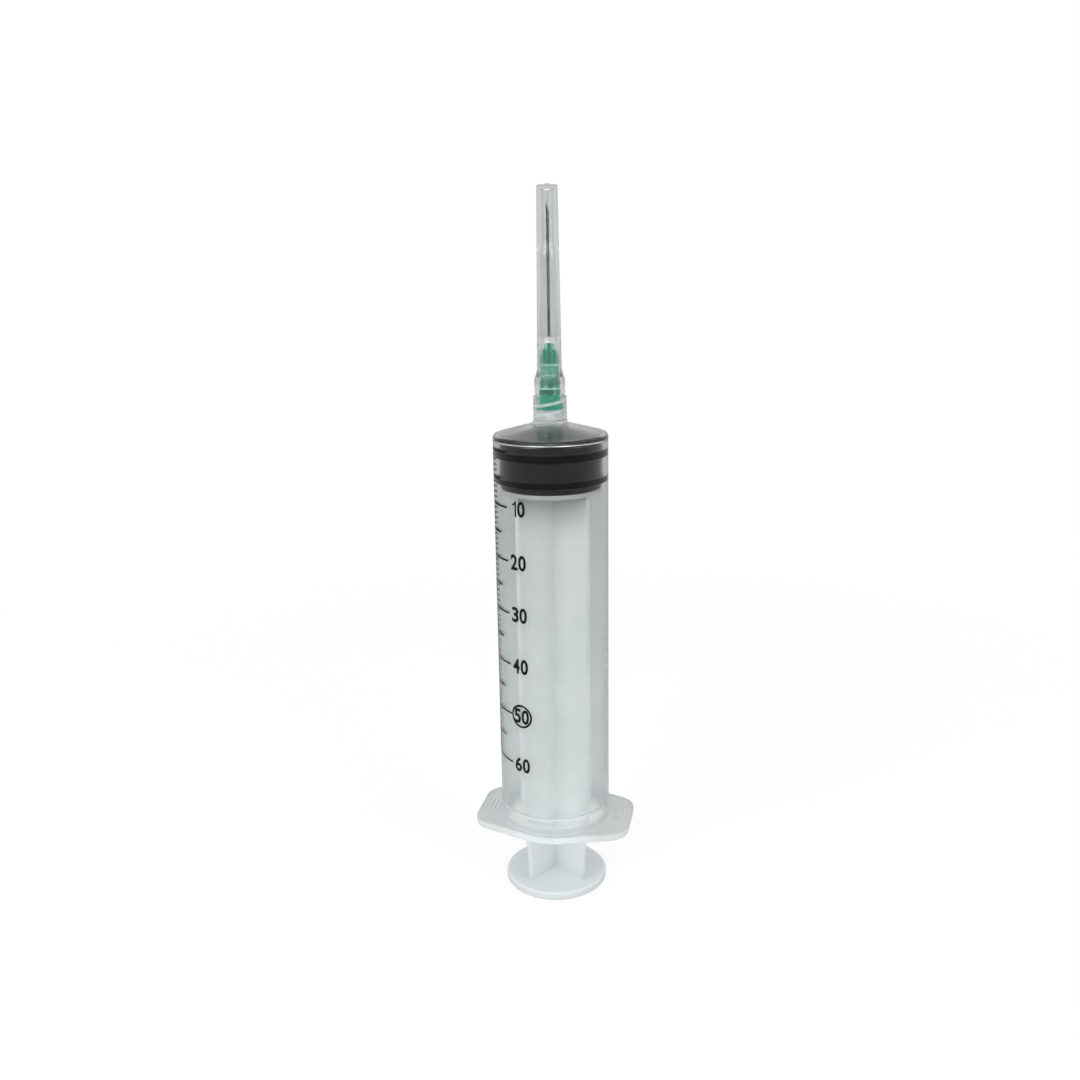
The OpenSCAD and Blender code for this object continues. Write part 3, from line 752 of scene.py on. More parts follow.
@dataclass
class Barrel:
    """The barrel moulding: tube, shoulder, lock collar, nozzle, finger flange and its ridges."""

    outer: float = 15.85
    bore: float = 14.62
    mouth: float = 19.05
    mouth_chamfer: float = 0.4
    flange_thick: float = 2.45
    flange_half: float = 22.7
    flange_end_half: float = 11.8
    flange_corner: float = 6.4
    flange_middle: float = 16.7
    flange_hole: float = 15.3
    flange_edge: float = 0.5
    flange_edge_faces: int = 4
    corner_steps: int = 64
    middle_steps: int = 120
    foot_fillet: float = 0.7
    foot_overlap: float = 0.3
    foot_shelf: float = 0.8
    foot_seam: float = 0.01
    stop_ring: Triple = (25.95, 0.25, 0.5)
    stop_crest: float = 0.4
    shoulder: float = 134.95
    inner_shoulder: float = 133.65
    shoulder_edge: float = 1.1
    collar: float = 4.6
    collar_rim: float = 4.525
    collar_bore: float = 3.975
    collar_draft: float = 0.02
    collar_floor: float = 138.85
    collar_top: float = 145.35
    collar_fillet: float = 1.3
    nozzle_tip: float = 147.45
    nozzle_tip_radius: float = 1.975
    nozzle_bore: float = 1.05
    ridge_radius: float = 0.4
    ridge_length: float = 6.4
    ridge_pitch: float = 1.3
    ridge_inset: float = 1.7
    ridge_end: float = 0.9
    ridge_sunk: float = 0.3
    ridge_count: int = 4
    thread_lead: float = 5.0
    thread_low: float = 139.7
    thread_high: float = 145.05
    thread_crest: float = 3.58
    thread_sunk: float = 0.2
    thread_half: Point = (0.42, 0.16)
    thread_edge: float = 0.07
    thread_step: float = 4.0
    thread_height_at_seat: float = 143.12
    thread_seat_turn: float = -97.0

    def shoulder_at(self, across: float) -> float:
        """Height of the shoulder's outside at a radius."""
        return self.shoulder + SHOULDER_SLOPE * (self.outer - across)

    def nozzle_at(self, up: float) -> float:
        """Radius of the nozzle at a height."""
        return self.nozzle_tip_radius + (self.nozzle_tip - up) * LUER_TAPER

    def wall(self) -> BMesh:
        """Tube, shoulder, collar and nozzle.

        Returns:
            One solid, turned from one outline.
        """
        inside, shelf = self.flange_hole + self.foot_overlap, self.mouth + self.foot_shelf
        foot, seam = self.outer + self.foot_fillet, self.mouth + self.flange_thick - self.foot_seam
        ring, rise, half = self.stop_ring
        crest = half * self.stop_crest
        return turned([
            (self.bore + self.mouth_chamfer, self.mouth, 0.12), (inside, self.mouth),
            (inside, shelf), (foot, shelf), (foot, seam), (self.outer, seam, self.foot_fillet),
            (self.outer, self.shoulder, self.shoulder_edge),
            (self.collar, self.shoulder_at(self.collar), self.collar_fillet),
            (self.collar_rim, self.collar_top, 0.22), (self.collar_bore, self.collar_top, 0.18),
            (self.collar_bore - self.collar_draft, self.collar_floor, 0.25),
            (self.nozzle_at(self.collar_floor), self.collar_floor, 0.25),
            (self.nozzle_tip_radius, self.nozzle_tip, 0.2),
            (self.nozzle_bore, self.nozzle_tip, 0.12),
            (self.nozzle_bore,
             self.inner_shoulder + SHOULDER_SLOPE * (self.bore - self.nozzle_bore), 0.3),
            (self.bore, self.inner_shoulder, 0.9), (self.bore, ring + half, 0.2),
            (self.bore - rise, ring + crest, 0.2), (self.bore - rise, ring - crest, 0.2),
            (self.bore, ring - half, 0.2), (self.bore, self.mouth + self.mouth_chamfer, 0.2)
        ])

    def flange(self) -> BMesh:
        """The two-winged finger flange.

        Returns:
            A plate with rounded edges, open in the middle.
        """
        bm = bmesh.new()
        low, high = self.mouth, self.mouth + self.flange_thick
        reach = self.flange_half - self.flange_corner
        side = self.flange_end_half - self.flange_corner
        circles = [(self.flange_middle, 0.0, 0.0, self.middle_steps)]
        circles += [(self.flange_corner, x, y, self.corner_steps)
                    for x in (-reach, reach) for y in (-side, side)]
        for radius, x, y, steps in circles:
            for up in (low, high):
                bmesh.ops.create_circle(bm, radius=radius, segments=steps,
                                        matrix=Matrix.Translation((x, y, up)))
        hull = bmesh.ops.convex_hull(bm, input=bm.verts)
        spare = {item for key in ("geom_interior", "geom_unused") for item in hull[key]}
        bmesh.ops.delete(bm, geom=[v for v in spare if isinstance(v, BMVert)], context="VERTS")
        bmesh.ops.dissolve_limit(bm, angle_limit=FLAT_ANGLE, verts=bm.verts, edges=bm.edges)
        bmesh.ops.recalc_face_normals(bm, faces=bm.faces)
        soften(bm, self.flange_edge, self.flange_edge_faces)
        hole = drum(self.flange_hole, low - PAST, high + PAST, LATHE_STEPS)
        return combined(bm, [hole], Join.DIFFERENCE)

    def ridges(self) -> list[BMesh]:
        """The raised grip ridges across both wings.

        Returns:
            A round bar for each.
        """
        radius, half = self.ridge_radius, self.ridge_length / 2
        end = radius * self.ridge_end
        up = self.mouth + self.flange_thick - radius * self.ridge_sunk
        bars = []
        for side in (-1, 1):
            for i in range(self.ridge_count):
                bar = turned([(0, -half), (radius, -half, end), (radius, half, end), (0, half)],
                             False, RIDGE_STEPS)
                across = side * (self.flange_half - self.ridge_inset - i * self.ridge_pitch)
                bars.append(moved(bar, Matrix.Translation((across, 0, up)) @ UPRIGHT))
        return bars

    def thread(self) -> BMesh:
        """The double thread inside the collar, which the hub's lugs ride under.

        Returns:
            Both strands.
        """
        rise = self.thread_high - self.thread_low
        degrees = 360 * rise / self.thread_lead
        behind = 360 * (self.thread_height_at_seat - self.thread_low) / self.thread_lead
        root, (wide, narrow) = self.collar_bore + self.thread_sunk, self.thread_half
        section = [(root, self.thread_low - wide), (self.thread_crest, self.thread_low - narrow),
                   (self.thread_crest, self.thread_low + narrow), (root, self.thread_low + wide)]
        strand = swept(section, degrees, math.ceil(degrees / self.thread_step), rise)
        bmesh.ops.recalc_face_normals(strand, faces=strand.faces)
        soften(strand, self.thread_edge)
        moved(strand, about_axis(self.thread_seat_turn - behind))
        return gathered([moved(strand.copy(), about_axis(180)), strand])

    def build(self) -> None:
        """Builds the barrel and its thread."""
        whole = combined(self.wall(), [self.flange(), *self.ridges()], Join.UNION)
        piece(whole, "barrel_moulding", BARREL_CLEAR.material(), Body.BARREL,
              "barrel")
        piece(self.thread(), "collar_thread", THREAD_CLEAR.material(), Body.BARREL)


class Stroke(Enum):
    """Lengths of graduation: the angle round the barrel where each ends."""

    SMALL = -76.0
    MIDDLE = -60.5
    LONG = -49.1


@dataclass
class ScalePrint:
    """The printed graduations, their numbers and the ring round the last but one."""

    radius: float = 15.85
    start: float = -90.0
    zero_height: float = 131.6
    per_ml: float = 1.49
    full: int = 60
    long_each: int = 10
    middle_each: int = 5
    thick: float = 0.55
    lift: float = 0.015
    sink: float = -0.012
    tick_bend: float = 0.7
    figure_bend: float = 0.4
    number_middle: float = -35.9
    figure_wide: float = 2.42
    figure_gap: float = 0.3
    number_tall: float = 4.4
    number_weight: float = 0.028
    text_extrude: float = 0.05
    text_steps: int = 6
    ringed: int = 50
    ring_size: Point = (7.0, 6.9)
    ring_thick: float = 0.6
    one: Levels = ((0.21, 0), (0.335, 0), (0.335, 1), (0.235, 1), (0.2, 0.9), (0.12, 0.83),
                   (0.0, 0.79), (0.0, 0.69), (0.11, 0.71), (0.21, 0.76))

    @property
    def deep(self) -> float:
        """Thickness of the ink."""
        return self.lift - self.sink

    @property
    def middle(self) -> float:
        """Height of the ink's middle over the wall."""
        return (self.lift + self.sink) / 2

    def wrap(self, bm: BMesh, degrees: float, ml: int, longest: float) -> BMesh:
        """Bends a flat print round the barrel, at a graduation.

        Args:
            bm: The print, in its own plane: X along the print, Y up, Z away from the wall.
            degrees: Angle round the barrel of the print's own X = 0.
            ml: The graduation at the height of the print's own Y = 0.
            longest: Longest stretch that may stay straight.

        Returns:
            The print.
        """
        places = [v.co.x for v in bm.verts]
        low, length = min(places), max(places) - min(places)
        count = math.ceil(length / longest)
        for k in range(1, count):
            cut(bm, (low + length * k / count, 0, 0), (1, 0, 0))
        for v in bm.verts:
            angle = math.radians(degrees + PHOTO_TURN) + v.co.x / self.radius
            out, up = self.radius + v.co.z, self.zero_height - self.per_ml * ml + v.co.y
            v.co = (out * math.sin(angle), -out * math.cos(angle), up)
        return bm

    def tick(self, ml: int) -> BMesh:
        """One graduation line.

        Args:
            ml: The graduation.

        Returns:
            The line, bent round the barrel.
        """
        stroke = Stroke.MIDDLE if ml % self.middle_each == 0 else Stroke.SMALL
        if ml % self.long_each == 0:
            stroke = Stroke.LONG
        length = math.radians(stroke.value - self.start) * self.radius
        line = box((length, self.thick, self.deep), (length / 2, 0, self.middle))
        return self.wrap(line, self.start, ml, self.tick_bend)

    def figure(self, character: str) -> BMesh:
        """One flat figure of the print's height and width.

        Args:
            character: The figure.

        Returns:
            The figure, its low left corner at the origin.
        """
        if character == "1":
            outline = [(x * self.number_tall, y * self.number_tall) for x, y in self.one]
            return plate(outline, self.deep, Matrix.Identity(4))
        text = bpy.data.curves.new(f"figure {character}", "FONT")
        text.body = character
        text.offset = self.number_weight
        text.extrude = self.text_extrude
        text.resolution_u = self.text_steps
        holder = bpy.data.objects.new(text.name, text)
        bpy.context.scene.collection.objects.link(holder)
        shown = holder.evaluated_get(bpy.context.evaluated_depsgraph_get())
        mesh = bpy.data.meshes.new_from_object(shown)
        bm = bmesh.new()
        bm.from_mesh(mesh)
        bpy.data.objects.remove(holder)
        bpy.data.curves.remove(text)
        bpy.data.meshes.remove(mesh)
        bmesh.ops.remove_doubles(bm, verts=bm.verts, dist=TEXT_TINY)
        low = Vector([min(v.co[axis] for v in bm.verts) for axis in range(3)])
        size = Vector([max(v.co[axis] for v in bm.verts) for axis in range(3)]) - low
        bmesh.ops.translate(bm, vec=(-low.x, -low.y, -low.z - size.z / 2), verts=bm.verts)
        grown = (self.figure_wide / size.x, self.number_tall / size.y, self.deep / size.z)
        bmesh.ops.scale(bm, vec=grown, verts=bm.verts)
        return bm

    def number(self, ml: int) -> BMesh:
        """One flat number of two figures.

        Args:
            ml: The number.

        Returns:
            The number, centred.
        """
        tens, ones = (self.figure(character) for character in str(ml))
        reach, half_gap = max(v.co.x for v in tens.verts), self.figure_gap / 2
        for figure, across in ((tens, -reach - half_gap), (ones, half_gap)):
            moved(figure, Matrix.Translation((across, -self.number_tall / 2, self.middle)))
        return gathered([tens, ones])

    def ring(self) -> BMesh:
        """The flat ring round a number.

        Returns:
            The ring, a little wider than tall.
        """
        across, tall = self.ring_size
        inner, outer = across / 2 - self.ring_thick, across / 2
        bm = lathe([(inner, self.sink), (outer, self.sink), (outer, self.lift),
                    (inner, self.lift)], steps=RING_STEPS)
        bmesh.ops.scale(bm, vec=(1, tall / across, 1), verts=bm.verts)
        return bm

    def build(self) -> None:
        """Builds the print."""
        finish = SCALE_INK.material()
        ticks = [self.tick(ml) for ml in range(self.full + 1)]
        marks = []
        for ml in range(self.long_each, self.full + 1, self.long_each):
            for mark in [self.number(ml), *([self.ring()] if ml == self.ringed else [])]:
                marks.append(self.wrap(mark, self.number_middle, ml, self.figure_bend))
        piece(gathered(ticks), "scale_ticks", finish, Body.BARREL)
        piece(gathered(marks), "scale_numbers", finish, Body.BARREL)


@dataclass
class Stopper:
    """The rubber stopper with its two sealing rings and the socket for the rod's head."""

    tail: float = 120.446
    body: float = 13.9
    waist: float = 14.1
    ring: float = 14.63
    rear_ring: Point = (122.196, 123.796)
    front_ring: Point = (129.146, 131.146)
    seat: float = 133.69
    ring_slope: float = 0.45
    socket_mouth: float = 5.3
    socket_chamfer: float = 0.72
    socket: float = 7.3
    socket_low: float = 122.846
    socket_high: float = 126.046

    def build(self) -> None:
        """Builds the stopper."""
        rear_low, rear_high = self.rear_ring
        front_low, front_high = self.front_ring
        plug = turned([
            (0, self.socket_high), (self.socket, self.socket_high, 0.3),
            (self.socket, self.socket_low, 0.2), (self.socket_mouth, self.socket_low, 0.2),
            (self.socket_mouth, self.tail + self.socket_chamfer, 0.3),
            (self.socket_mouth + self.socket_chamfer, self.tail, 0.2),
            (self.body, self.tail, 0.35), (self.body, rear_low - self.ring_slope, 0.15),
            (self.ring, rear_low, 0.12), (self.ring, rear_high, 0.12),
            (self.waist, rear_high + self.ring_slope, 0.2),
            (self.waist, front_low - self.ring_slope, 0.2), (self.ring, front_low, 0.12),
            (self.ring, front_high, 0.12), (self.body, front_high + self.ring_slope, 0.15),
            (self.body, self.seat, 0.5), (0, self.seat + SHOULDER_SLOPE * self.body)
        ], closed=False)
        piece(plug, "stopper_rubber_plug", STOPPER_BLACK.material(), Body.STOPPER,
              "stopper")


@dataclass
class PlungerRod:
    """The rod moulding: thumb rest, crossed ribs with their foot, push disc, neck and head."""

    rest: float = 14.95
    rest_thick: float = 2.45
    rest_edge: float = 0.7
    dish: float = 11.5
    dish_deep: float = 0.15
    sunk: float = 0.5
    into_disc: float = 0.2
    rib_thick: float = 1.4
    rib_foot: float = 10.9
    rib_foot_tall: float = 0.5
    rib_tip: float = 13.3
    rib_edge: float = 0.18
    taper: float = 29.0
    foot_fillet: float = 0.8
    foot_reach: float = 1.6
    foot_sunk: float = 0.4
    overlap: float = 0.05
    core: float = 1.3
    turn: float = 58.0
    disc: float = 13.9
    disc_low: float = 119.096
    disc_high: float = 120.396
    neck: float = 5.2
    head: float = 7.2
    head_low: float = 122.946
    head_high: float = 125.946

    def thumb_rest(self) -> BMesh:
        """The round rest with a shallow dish in its underside."""
        return turned([
            (0, self.dish_deep), (self.dish, self.dish_deep, 0.3),
            (self.dish + self.dish_deep * 2, 0, 0.2), (self.rest, 0, self.rest_edge),
            (self.rest, self.rest_thick, self.rest_edge), (0, self.rest_thick)
        ], closed=False)

    def rib(self, degrees: float) -> BMesh:
        """One plate of the cross with rounded edges.

        Args:
            degrees: Angle of its plane about the axis.

        Returns:
            The plate, from inside the rest to inside the disc.
        """
        half = rounded([
            (self.rib_foot, self.rest_thick - self.sunk),
            (self.rib_foot, self.rest_thick + self.rib_foot_tall, 2.0),
            (self.rib_tip, self.rest_thick + self.taper, 20.0),
            (self.rib_tip, self.disc_low + self.into_disc)], closed=False)
        return plate(mirrored(half), self.rib_thick, about_axis(degrees) @ UPRIGHT, self.rib_edge)

    def foot(self, degrees: float) -> BMesh:
        """Fillets between a plate and the rest.

        Args:
            degrees: Angle of the plate's plane about the axis.

        Returns:
            A bar with a hollow curve on both sides.
        """
        half, fillet = self.rib_thick / 2 - self.overlap, self.foot_fillet + self.overlap
        out, top = half + fillet * self.foot_reach, self.rest_thick
        side = rounded([(out, top - self.foot_sunk), (out, top),
                        (half, top, fillet),
                        (half, top + fillet * self.foot_reach)], closed=False)
        place = about_axis(degrees) @ UPRIGHT @ Matrix.Rotation(math.pi / 2, 4, "Y")
        return plate(mirrored(side), 2 * (self.rib_foot - self.overlap), place)

    def front(self) -> BMesh:
        """Push disc, neck and head."""
        return turned([
            (0, self.disc_low), (self.disc, self.disc_low, 0.25),
            (self.disc, self.disc_high, 0.25), (self.neck, self.disc_high, 0.5),
            (self.neck, self.head_low, 0.3), (self.head, self.head_low, 0.3),
            (self.head, self.head_high, 0.9), (0, self.head_high)
        ], closed=False)

    def build(self) -> None:
        """Builds the rod."""
        parts = [self.front(), drum(self.core, self.rest_thick - self.sunk,
                                    self.disc_low + self.into_disc, THIN_LATHE_STEPS)]
        for side in (0.0, 90.0):
            parts += [self.rib(self.turn + side), self.foot(self.turn + side)]
        whole = combined(self.thumb_rest(), parts, Join.UNION)
        piece(whole, "plunger_rod_moulding", ROD_MILKY.material(), Body.ROD,
              "plunger_rod")


@dataclass
class NeedleHub:
    """The hub moulding: luer socket, locking lugs, keyed block and finned nose."""

    low: float = 141.62
    socket_mouth: float = 2.18
    socket_end: float = 150.02
    barrel_radius: float = 2.9
    barrel_top: float = 147.32
    step: float = 2.1
    step_out: float = 0.25
    step_shares: Triple = (0.18, 0.5, 0.68)
    block_low: float = 149.42
    block: float = 2.5
    ring_low: float = 153.42
    ring: float = 2.65
    nose_low: float = 153.87
    nose_tip: float = 159.47
    nose_root_radius: float = 1.7
    nose_tip_radius: float = 1.35
    passage: float = 0.42
    groove: Triple = (150.78, 0.5, 0.12)
    slot_wide: float = 1.1
    slot_deep: float = 0.45
    slot_past: float = 0.55
    slot_edge: float = 0.1
    cutter: float = 2.0
    cutter_past: float = 0.1
    fin: float = 0.6
    fin_sunk: float = 0.2
    fin_straight: float = 1.87
    fin_below_tip: float = 1.4
    fin_edge: float = 0.08
    lug: float = 3.85
    lug_root: float = 2.54
    lug_raised: float = 0.15
    lug_blank: float = 3.0
    lug_middle: float = 1.0
    lug_span: float = 140.0
    lug_shift: float = 19.0
    lug_steps: int = 36
    lug_edge: float = 0.07
    lead: float = 5.0

    def wall(self) -> BMesh:
        """The turned wall with its socket and the way for the cannula.

        Returns:
            The solid.
        """
        first, second, third = (self.barrel_top + self.step * share for share in self.step_shares)
        stepped = self.block + self.step_out
        socket_top = self.socket_mouth - (self.socket_end - self.low) * LUER_TAPER
        middle, wide, deep = self.groove
        return turned([
            (self.socket_mouth, self.low, 0.08), (self.barrel_radius, self.low, 0.15),
            (self.barrel_radius, self.barrel_top, 0.15), (stepped, first, 0.06),
            (self.block, first, 0.08), (self.block, second, 0.08), (stepped, second, 0.06),
            (stepped, third, 0.06), (self.block, self.block_low, 0.1),
            (self.block, middle - wide / 2, 0.05), (self.block - deep, middle, 0.05),
            (self.block, middle + wide / 2, 0.05), (self.block, self.ring_low, 0.06),
            (self.ring, self.ring_low, 0.06), (self.ring, self.nose_low, 0.12),
            (self.nose_root_radius, self.nose_low, 0.3),
            (self.nose_tip_radius, self.nose_tip, 0.2), (self.passage, self.nose_tip, 0.1),
            (self.passage, self.socket_end, 0.1), (socket_top, self.socket_end, 0.2)
        ], steps=SMALL_LATHE_STEPS)

    def lugs(self) -> list[BMesh]:
        """The two locking lugs, flat below and climbing with the thread above.

        Returns:
            The lugs.
        """
        low = self.low + self.lug_raised
        high = low + self.lug_blank
        section = [(self.lug_root, low), (self.lug, low), (self.lug, high), (self.lug_root, high)]
        tilt = math.atan(self.lead / (math.pi * (self.barrel_radius + self.lug)))
        slant = (0, -math.sin(tilt), math.cos(tilt))
        lug = moved(swept(section, self.lug_span, self.lug_steps), about_axis(-self.lug_span / 2))
        rim = cut(lug, (0, 0, low + self.lug_middle), slant, clear=True)
        bmesh.ops.contextual_create(lug, geom=rim)
        bmesh.ops.recalc_face_normals(lug, faces=lug.faces)
        soften(lug, self.lug_edge)
        moved(lug, about_axis(-90 - self.lug_shift))
        return [lug.copy(), moved(lug, about_axis(180))]

    def fins(self) -> list[BMesh]:
        """The fins down the nose.

        Returns:
            Two crossed plates.
        """
        half = rounded([(self.ring, self.nose_low - self.fin_sunk),
                        (self.ring, self.nose_low + self.fin_straight, 0.3),
                        (self.nose_tip_radius, self.nose_tip - self.fin_below_tip)], False)
        return [plate(mirrored(half), self.fin, about_axis(degrees) @ UPRIGHT, self.fin_edge)
                for degrees in (0, 90)]

    def build(self) -> None:
        """Builds the hub, with slots for the cap's keys."""
        whole = combined(self.wall(), [*self.lugs(), *self.fins()], Join.UNION)
        inner = self.block - self.slot_deep
        heights = (self.block_low + self.slot_wide / 2, self.nose_low + self.slot_past)
        slots = four_blocks((inner, inner + self.cutter), self.slot_wide, heights, self.slot_edge)
        whole = combined(whole, slots, Join.DIFFERENCE)
        way = drum(self.passage, self.socket_end - self.cutter_past,
                   self.nose_tip + self.cutter_past, THIN_LATHE_STEPS)
        whole = combined(whole, [way], Join.DIFFERENCE)
        piece(moved(whole, about_axis(PHOTO_TURN)), "needle_hub_moulding", HUB_GREEN.material(),
              Body.NEEDLE, "needle_hub")


@dataclass
class BondBead:
    """The bead of adhesive that climbs the cannula out of the hub's nose."""

    low: float = 159.49
    tall: float = 1.5
    radius: float = 1.2
    hole: float = 0.42
    shoulder_share: float = 0.35
    neck_share: float = 0.6
    neck_wall: float = 0.25
    tip_wall: float = 0.06

    def build(self) -> None:
        """Builds the bead."""
        bead = turned([
            (self.hole, self.low), (self.radius, self.low, 0.12),
            (self.radius, self.low + self.tall * self.shoulder_share, 0.25),
            (self.hole + self.neck_wall, self.low + self.tall * self.neck_share, 0.25),
            (self.hole + self.tip_wall, self.low + self.tall), (self.hole, self.low + self.tall)
        ], steps=SMALL_LATHE_STEPS)
        piece(bead, "adhesive_bead", BEAD_PINK.material(), Body.BEAD, "bond_bead")


@dataclass
class Cannula:
    """The steel needle tube with its ground bevel."""

    low: float = 150.17
    tip: float = 195.47
    radius: float = 0.4
    bore: float = 0.25
    bevel: float = 17.0
    grinder: Triple = (4, 4, 36)

    def build(self) -> None:
        """Builds the needle tube."""
        tube = lathe([(self.bore, self.low), (self.radius, self.low), (self.radius, self.tip),
                      (self.bore, self.tip)], steps=THIN_LATHE_STEPS)
        slanted = Matrix.Rotation(math.radians(-self.bevel), 4, "Y")
        block = moved(box(self.grinder, (self.grinder[0] / 2, 0, 0)),
                      Matrix.Translation((-self.radius, 0, self.tip)) @ slanted)
        ground = combined(tube, [block], Join.DIFFERENCE)
        piece(ground, "needle_tube", NEEDLE_STEEL.material(), Body.NEEDLE,
              "cannula")


@dataclass
class NeedleCap:
    """The clear needle cap with its skirt, grip ribs and the keys inside."""

    low: float = 145.75
    top: float = 199.75
    tip: float = 2.75
    skirt: float = 4.15
    skirt_draft: float = 0.96
    skirt_top: float = 149.75
    waist: float = 3.35
    waist_height: float = 151.45
    skirt_bore: float = 3.0
    skirt_flare: float = 0.1
    hub_top: float = 147.42
    hub_cone: float = 1.05
    block_bore: float = 2.75
    fin_top: float = 158.07
    bore: float = 2.15
    tip_bore: float = 1.55
    step: float = 182.95
    end: float = 1.2
    step_tall: float = 2.0
    neck_tall: float = 2.4
    gate: Point = (0.6, 0.35)
    rib_count: int = 8
    rib_wide: float = 0.6
    rib_sunk: float = 0.4
    rib_cone: float = 0.4
    rib_above: float = 0.85
    rib_edge: float = 0.1
    key_wide: float = 0.9
    key_inner: float = 2.15
    key_heights: Point = (150.52, 153.42)
    key_edge: float = 0.06

    def shell(self) -> BMesh:
        """The turned shell with the gate mark.

        Returns:
            The solid, closed at its far end.
        """
        radius, rise = self.gate
        inner_top = self.top - self.end
        return turned([
            (0, inner_top), (self.tip_bore, inner_top, 0.5),
            (self.tip_bore, self.step + self.step_tall, 6.5), (self.bore, self.step, 6.5),
            (self.bore, self.fin_top + self.neck_tall, 4.0), (self.block_bore, self.fin_top, 4.0),
            (self.block_bore, self.hub_top + self.hub_cone, 0.2),
            (self.skirt_bore, self.hub_top, 0.2),
            (self.skirt_bore + self.skirt_flare, self.low, 0.15), (self.skirt, self.low, 0.2),
            (self.skirt * self.skirt_draft, self.skirt_top, 0.5),
            (self.waist, self.waist_height, 1.2), (self.tip, self.top, 0.45),
            (radius, self.top, 0.12), (radius, self.top + rise, 0.15), (0, self.top + rise)
        ], False, CAP_LATHE_STEPS)

    def ribs(self) -> list[BMesh]:
        """The short grip ribs down the skirt's cone.

        Returns:
            A plate for each.
        """
        middle, inner = (self.skirt_top + self.low) / 2, self.waist - self.rib_sunk
        high = self.waist_height + self.rib_above
        outline = rounded([
            (inner, middle - self.rib_cone), (self.skirt, middle, 0.3),
            (self.skirt, self.skirt_top, 0.6), (self.waist, high, 0.3),
            (inner, high)])
        return [plate(outline, self.rib_wide, about_axis(360 * i / self.rib_count) @ UPRIGHT,
                      self.rib_edge) for i in range(self.rib_count)]

    def build(self) -> None:
        """Builds the cap, with the keys that turn the hub."""
        reach = (self.key_inner, (self.waist + self.block_bore) / 2)
        keys = four_blocks(reach, self.key_wide, self.key_heights, self.key_edge)
        whole = combined(self.shell(), [*self.ribs(), *keys], Join.UNION)
        piece(moved(whole, about_axis(PHOTO_TURN)), "needle_cap_moulding", CAP_CLEAR.material(),
              Body.CAP, "needle_cap")


@dataclass(frozen=True)
class Paper(Surface):
    """A pale matt surface that the camera sees near white.

    Its shows field is the share of plain white in what the camera sees near the syringe, where the
    rest is lit and keeps its shadow. Its through field is its brightness as clear plastic shows
    it, near the syringe and far behind it. Its gloss field is its brightness as gloss shows it,
    behind the syringe and on the camera's side.
    """

    shows: float
    through: Point
    gloss: Point
    greys: Point = (0.86, 0.88)
    fibre: Noise = Noise(20, 4)
    gloss_facing: Point = (-0.6, 0.7)
    through_reach: Point = (0.05, 0.5)
    shadow_reach: Point = (0.1, 0.4)

    def surface(self, graph: Graph) -> NodeSocket:
        """The paper.

        Args:
            graph: The material's nodes.

        Returns:
            The surface.
        """
        dark, light = ((grey, grey, grey) for grey in self.greys)
        matt = graph.add("ShaderNodeBsdfDiffuse",
                         Color=graph.tint(graph.noise(self.fibre), dark, light))
        away = graph.vector("LENGTH", graph.place).outputs["Value"]
        unit = graph.vector("NORMALIZE", graph.place).outputs["Vector"]
        angle = math.radians(PHOTO_TURN)
        behind = graph.vector("DOT_PRODUCT", unit, (-math.sin(angle), math.cos(angle), 0.0))
        back, front = self.gloss
        gloss = graph.spread(behind.outputs["Value"], front, back, *self.gloss_facing)
        path = graph.add("ShaderNodeLightPath").outputs
        level = graph.where(path["Is Glossy Ray"], 1.0, gloss)
        level = graph.where(path["Is Transmission Ray"], level,
                            graph.spread(away, *self.through, *self.through_reach))
        white = graph.add("ShaderNodeEmission", Color=(1.0, 1.0, 1.0), Strength=level)
        seen = graph.maths("MAXIMUM", path["Is Camera Ray"], path["Is Transmission Ray"])
        share = graph.where(seen, 0.0, graph.spread(away, self.shows, 1.0, *self.shadow_reach))
        share = graph.where(path["Is Glossy Ray"], share, 1.0)
        return graph.blend(share, matt.outputs[0], white.outputs[0])


@dataclass(frozen=True)
class Lamp:
    """A soft plain lamp, in metres, its azimuth in degrees to the right of the camera."""

    name: str
    azimuth: float
    height: float
    away: float
    size: Point
    watts: float
    shines: bool = True
    aim: Triple = (0, 0, 0.1)

    def build(self) -> None:
        """Builds the lamp, aimed at the syringe."""
        data = bpy.data.lights.new(self.name, "AREA")
        data.shape, data.size, data.size_y = "RECTANGLE", *self.size
        data.energy = self.watts
        angle = math.radians(self.azimuth + PHOTO_TURN)
        place = Vector((self.away * math.sin(angle), -self.away * math.cos(angle), self.height))
        thing = bpy.data.objects.new(self.name, data)
        thing.rotation_euler = (Vector(self.aim) - place).to_track_quat("-Z", "Y").to_euler()
        thing.location = place
        thing.visible_glossy = self.shines
        bpy.context.scene.collection.objects.link(thing)


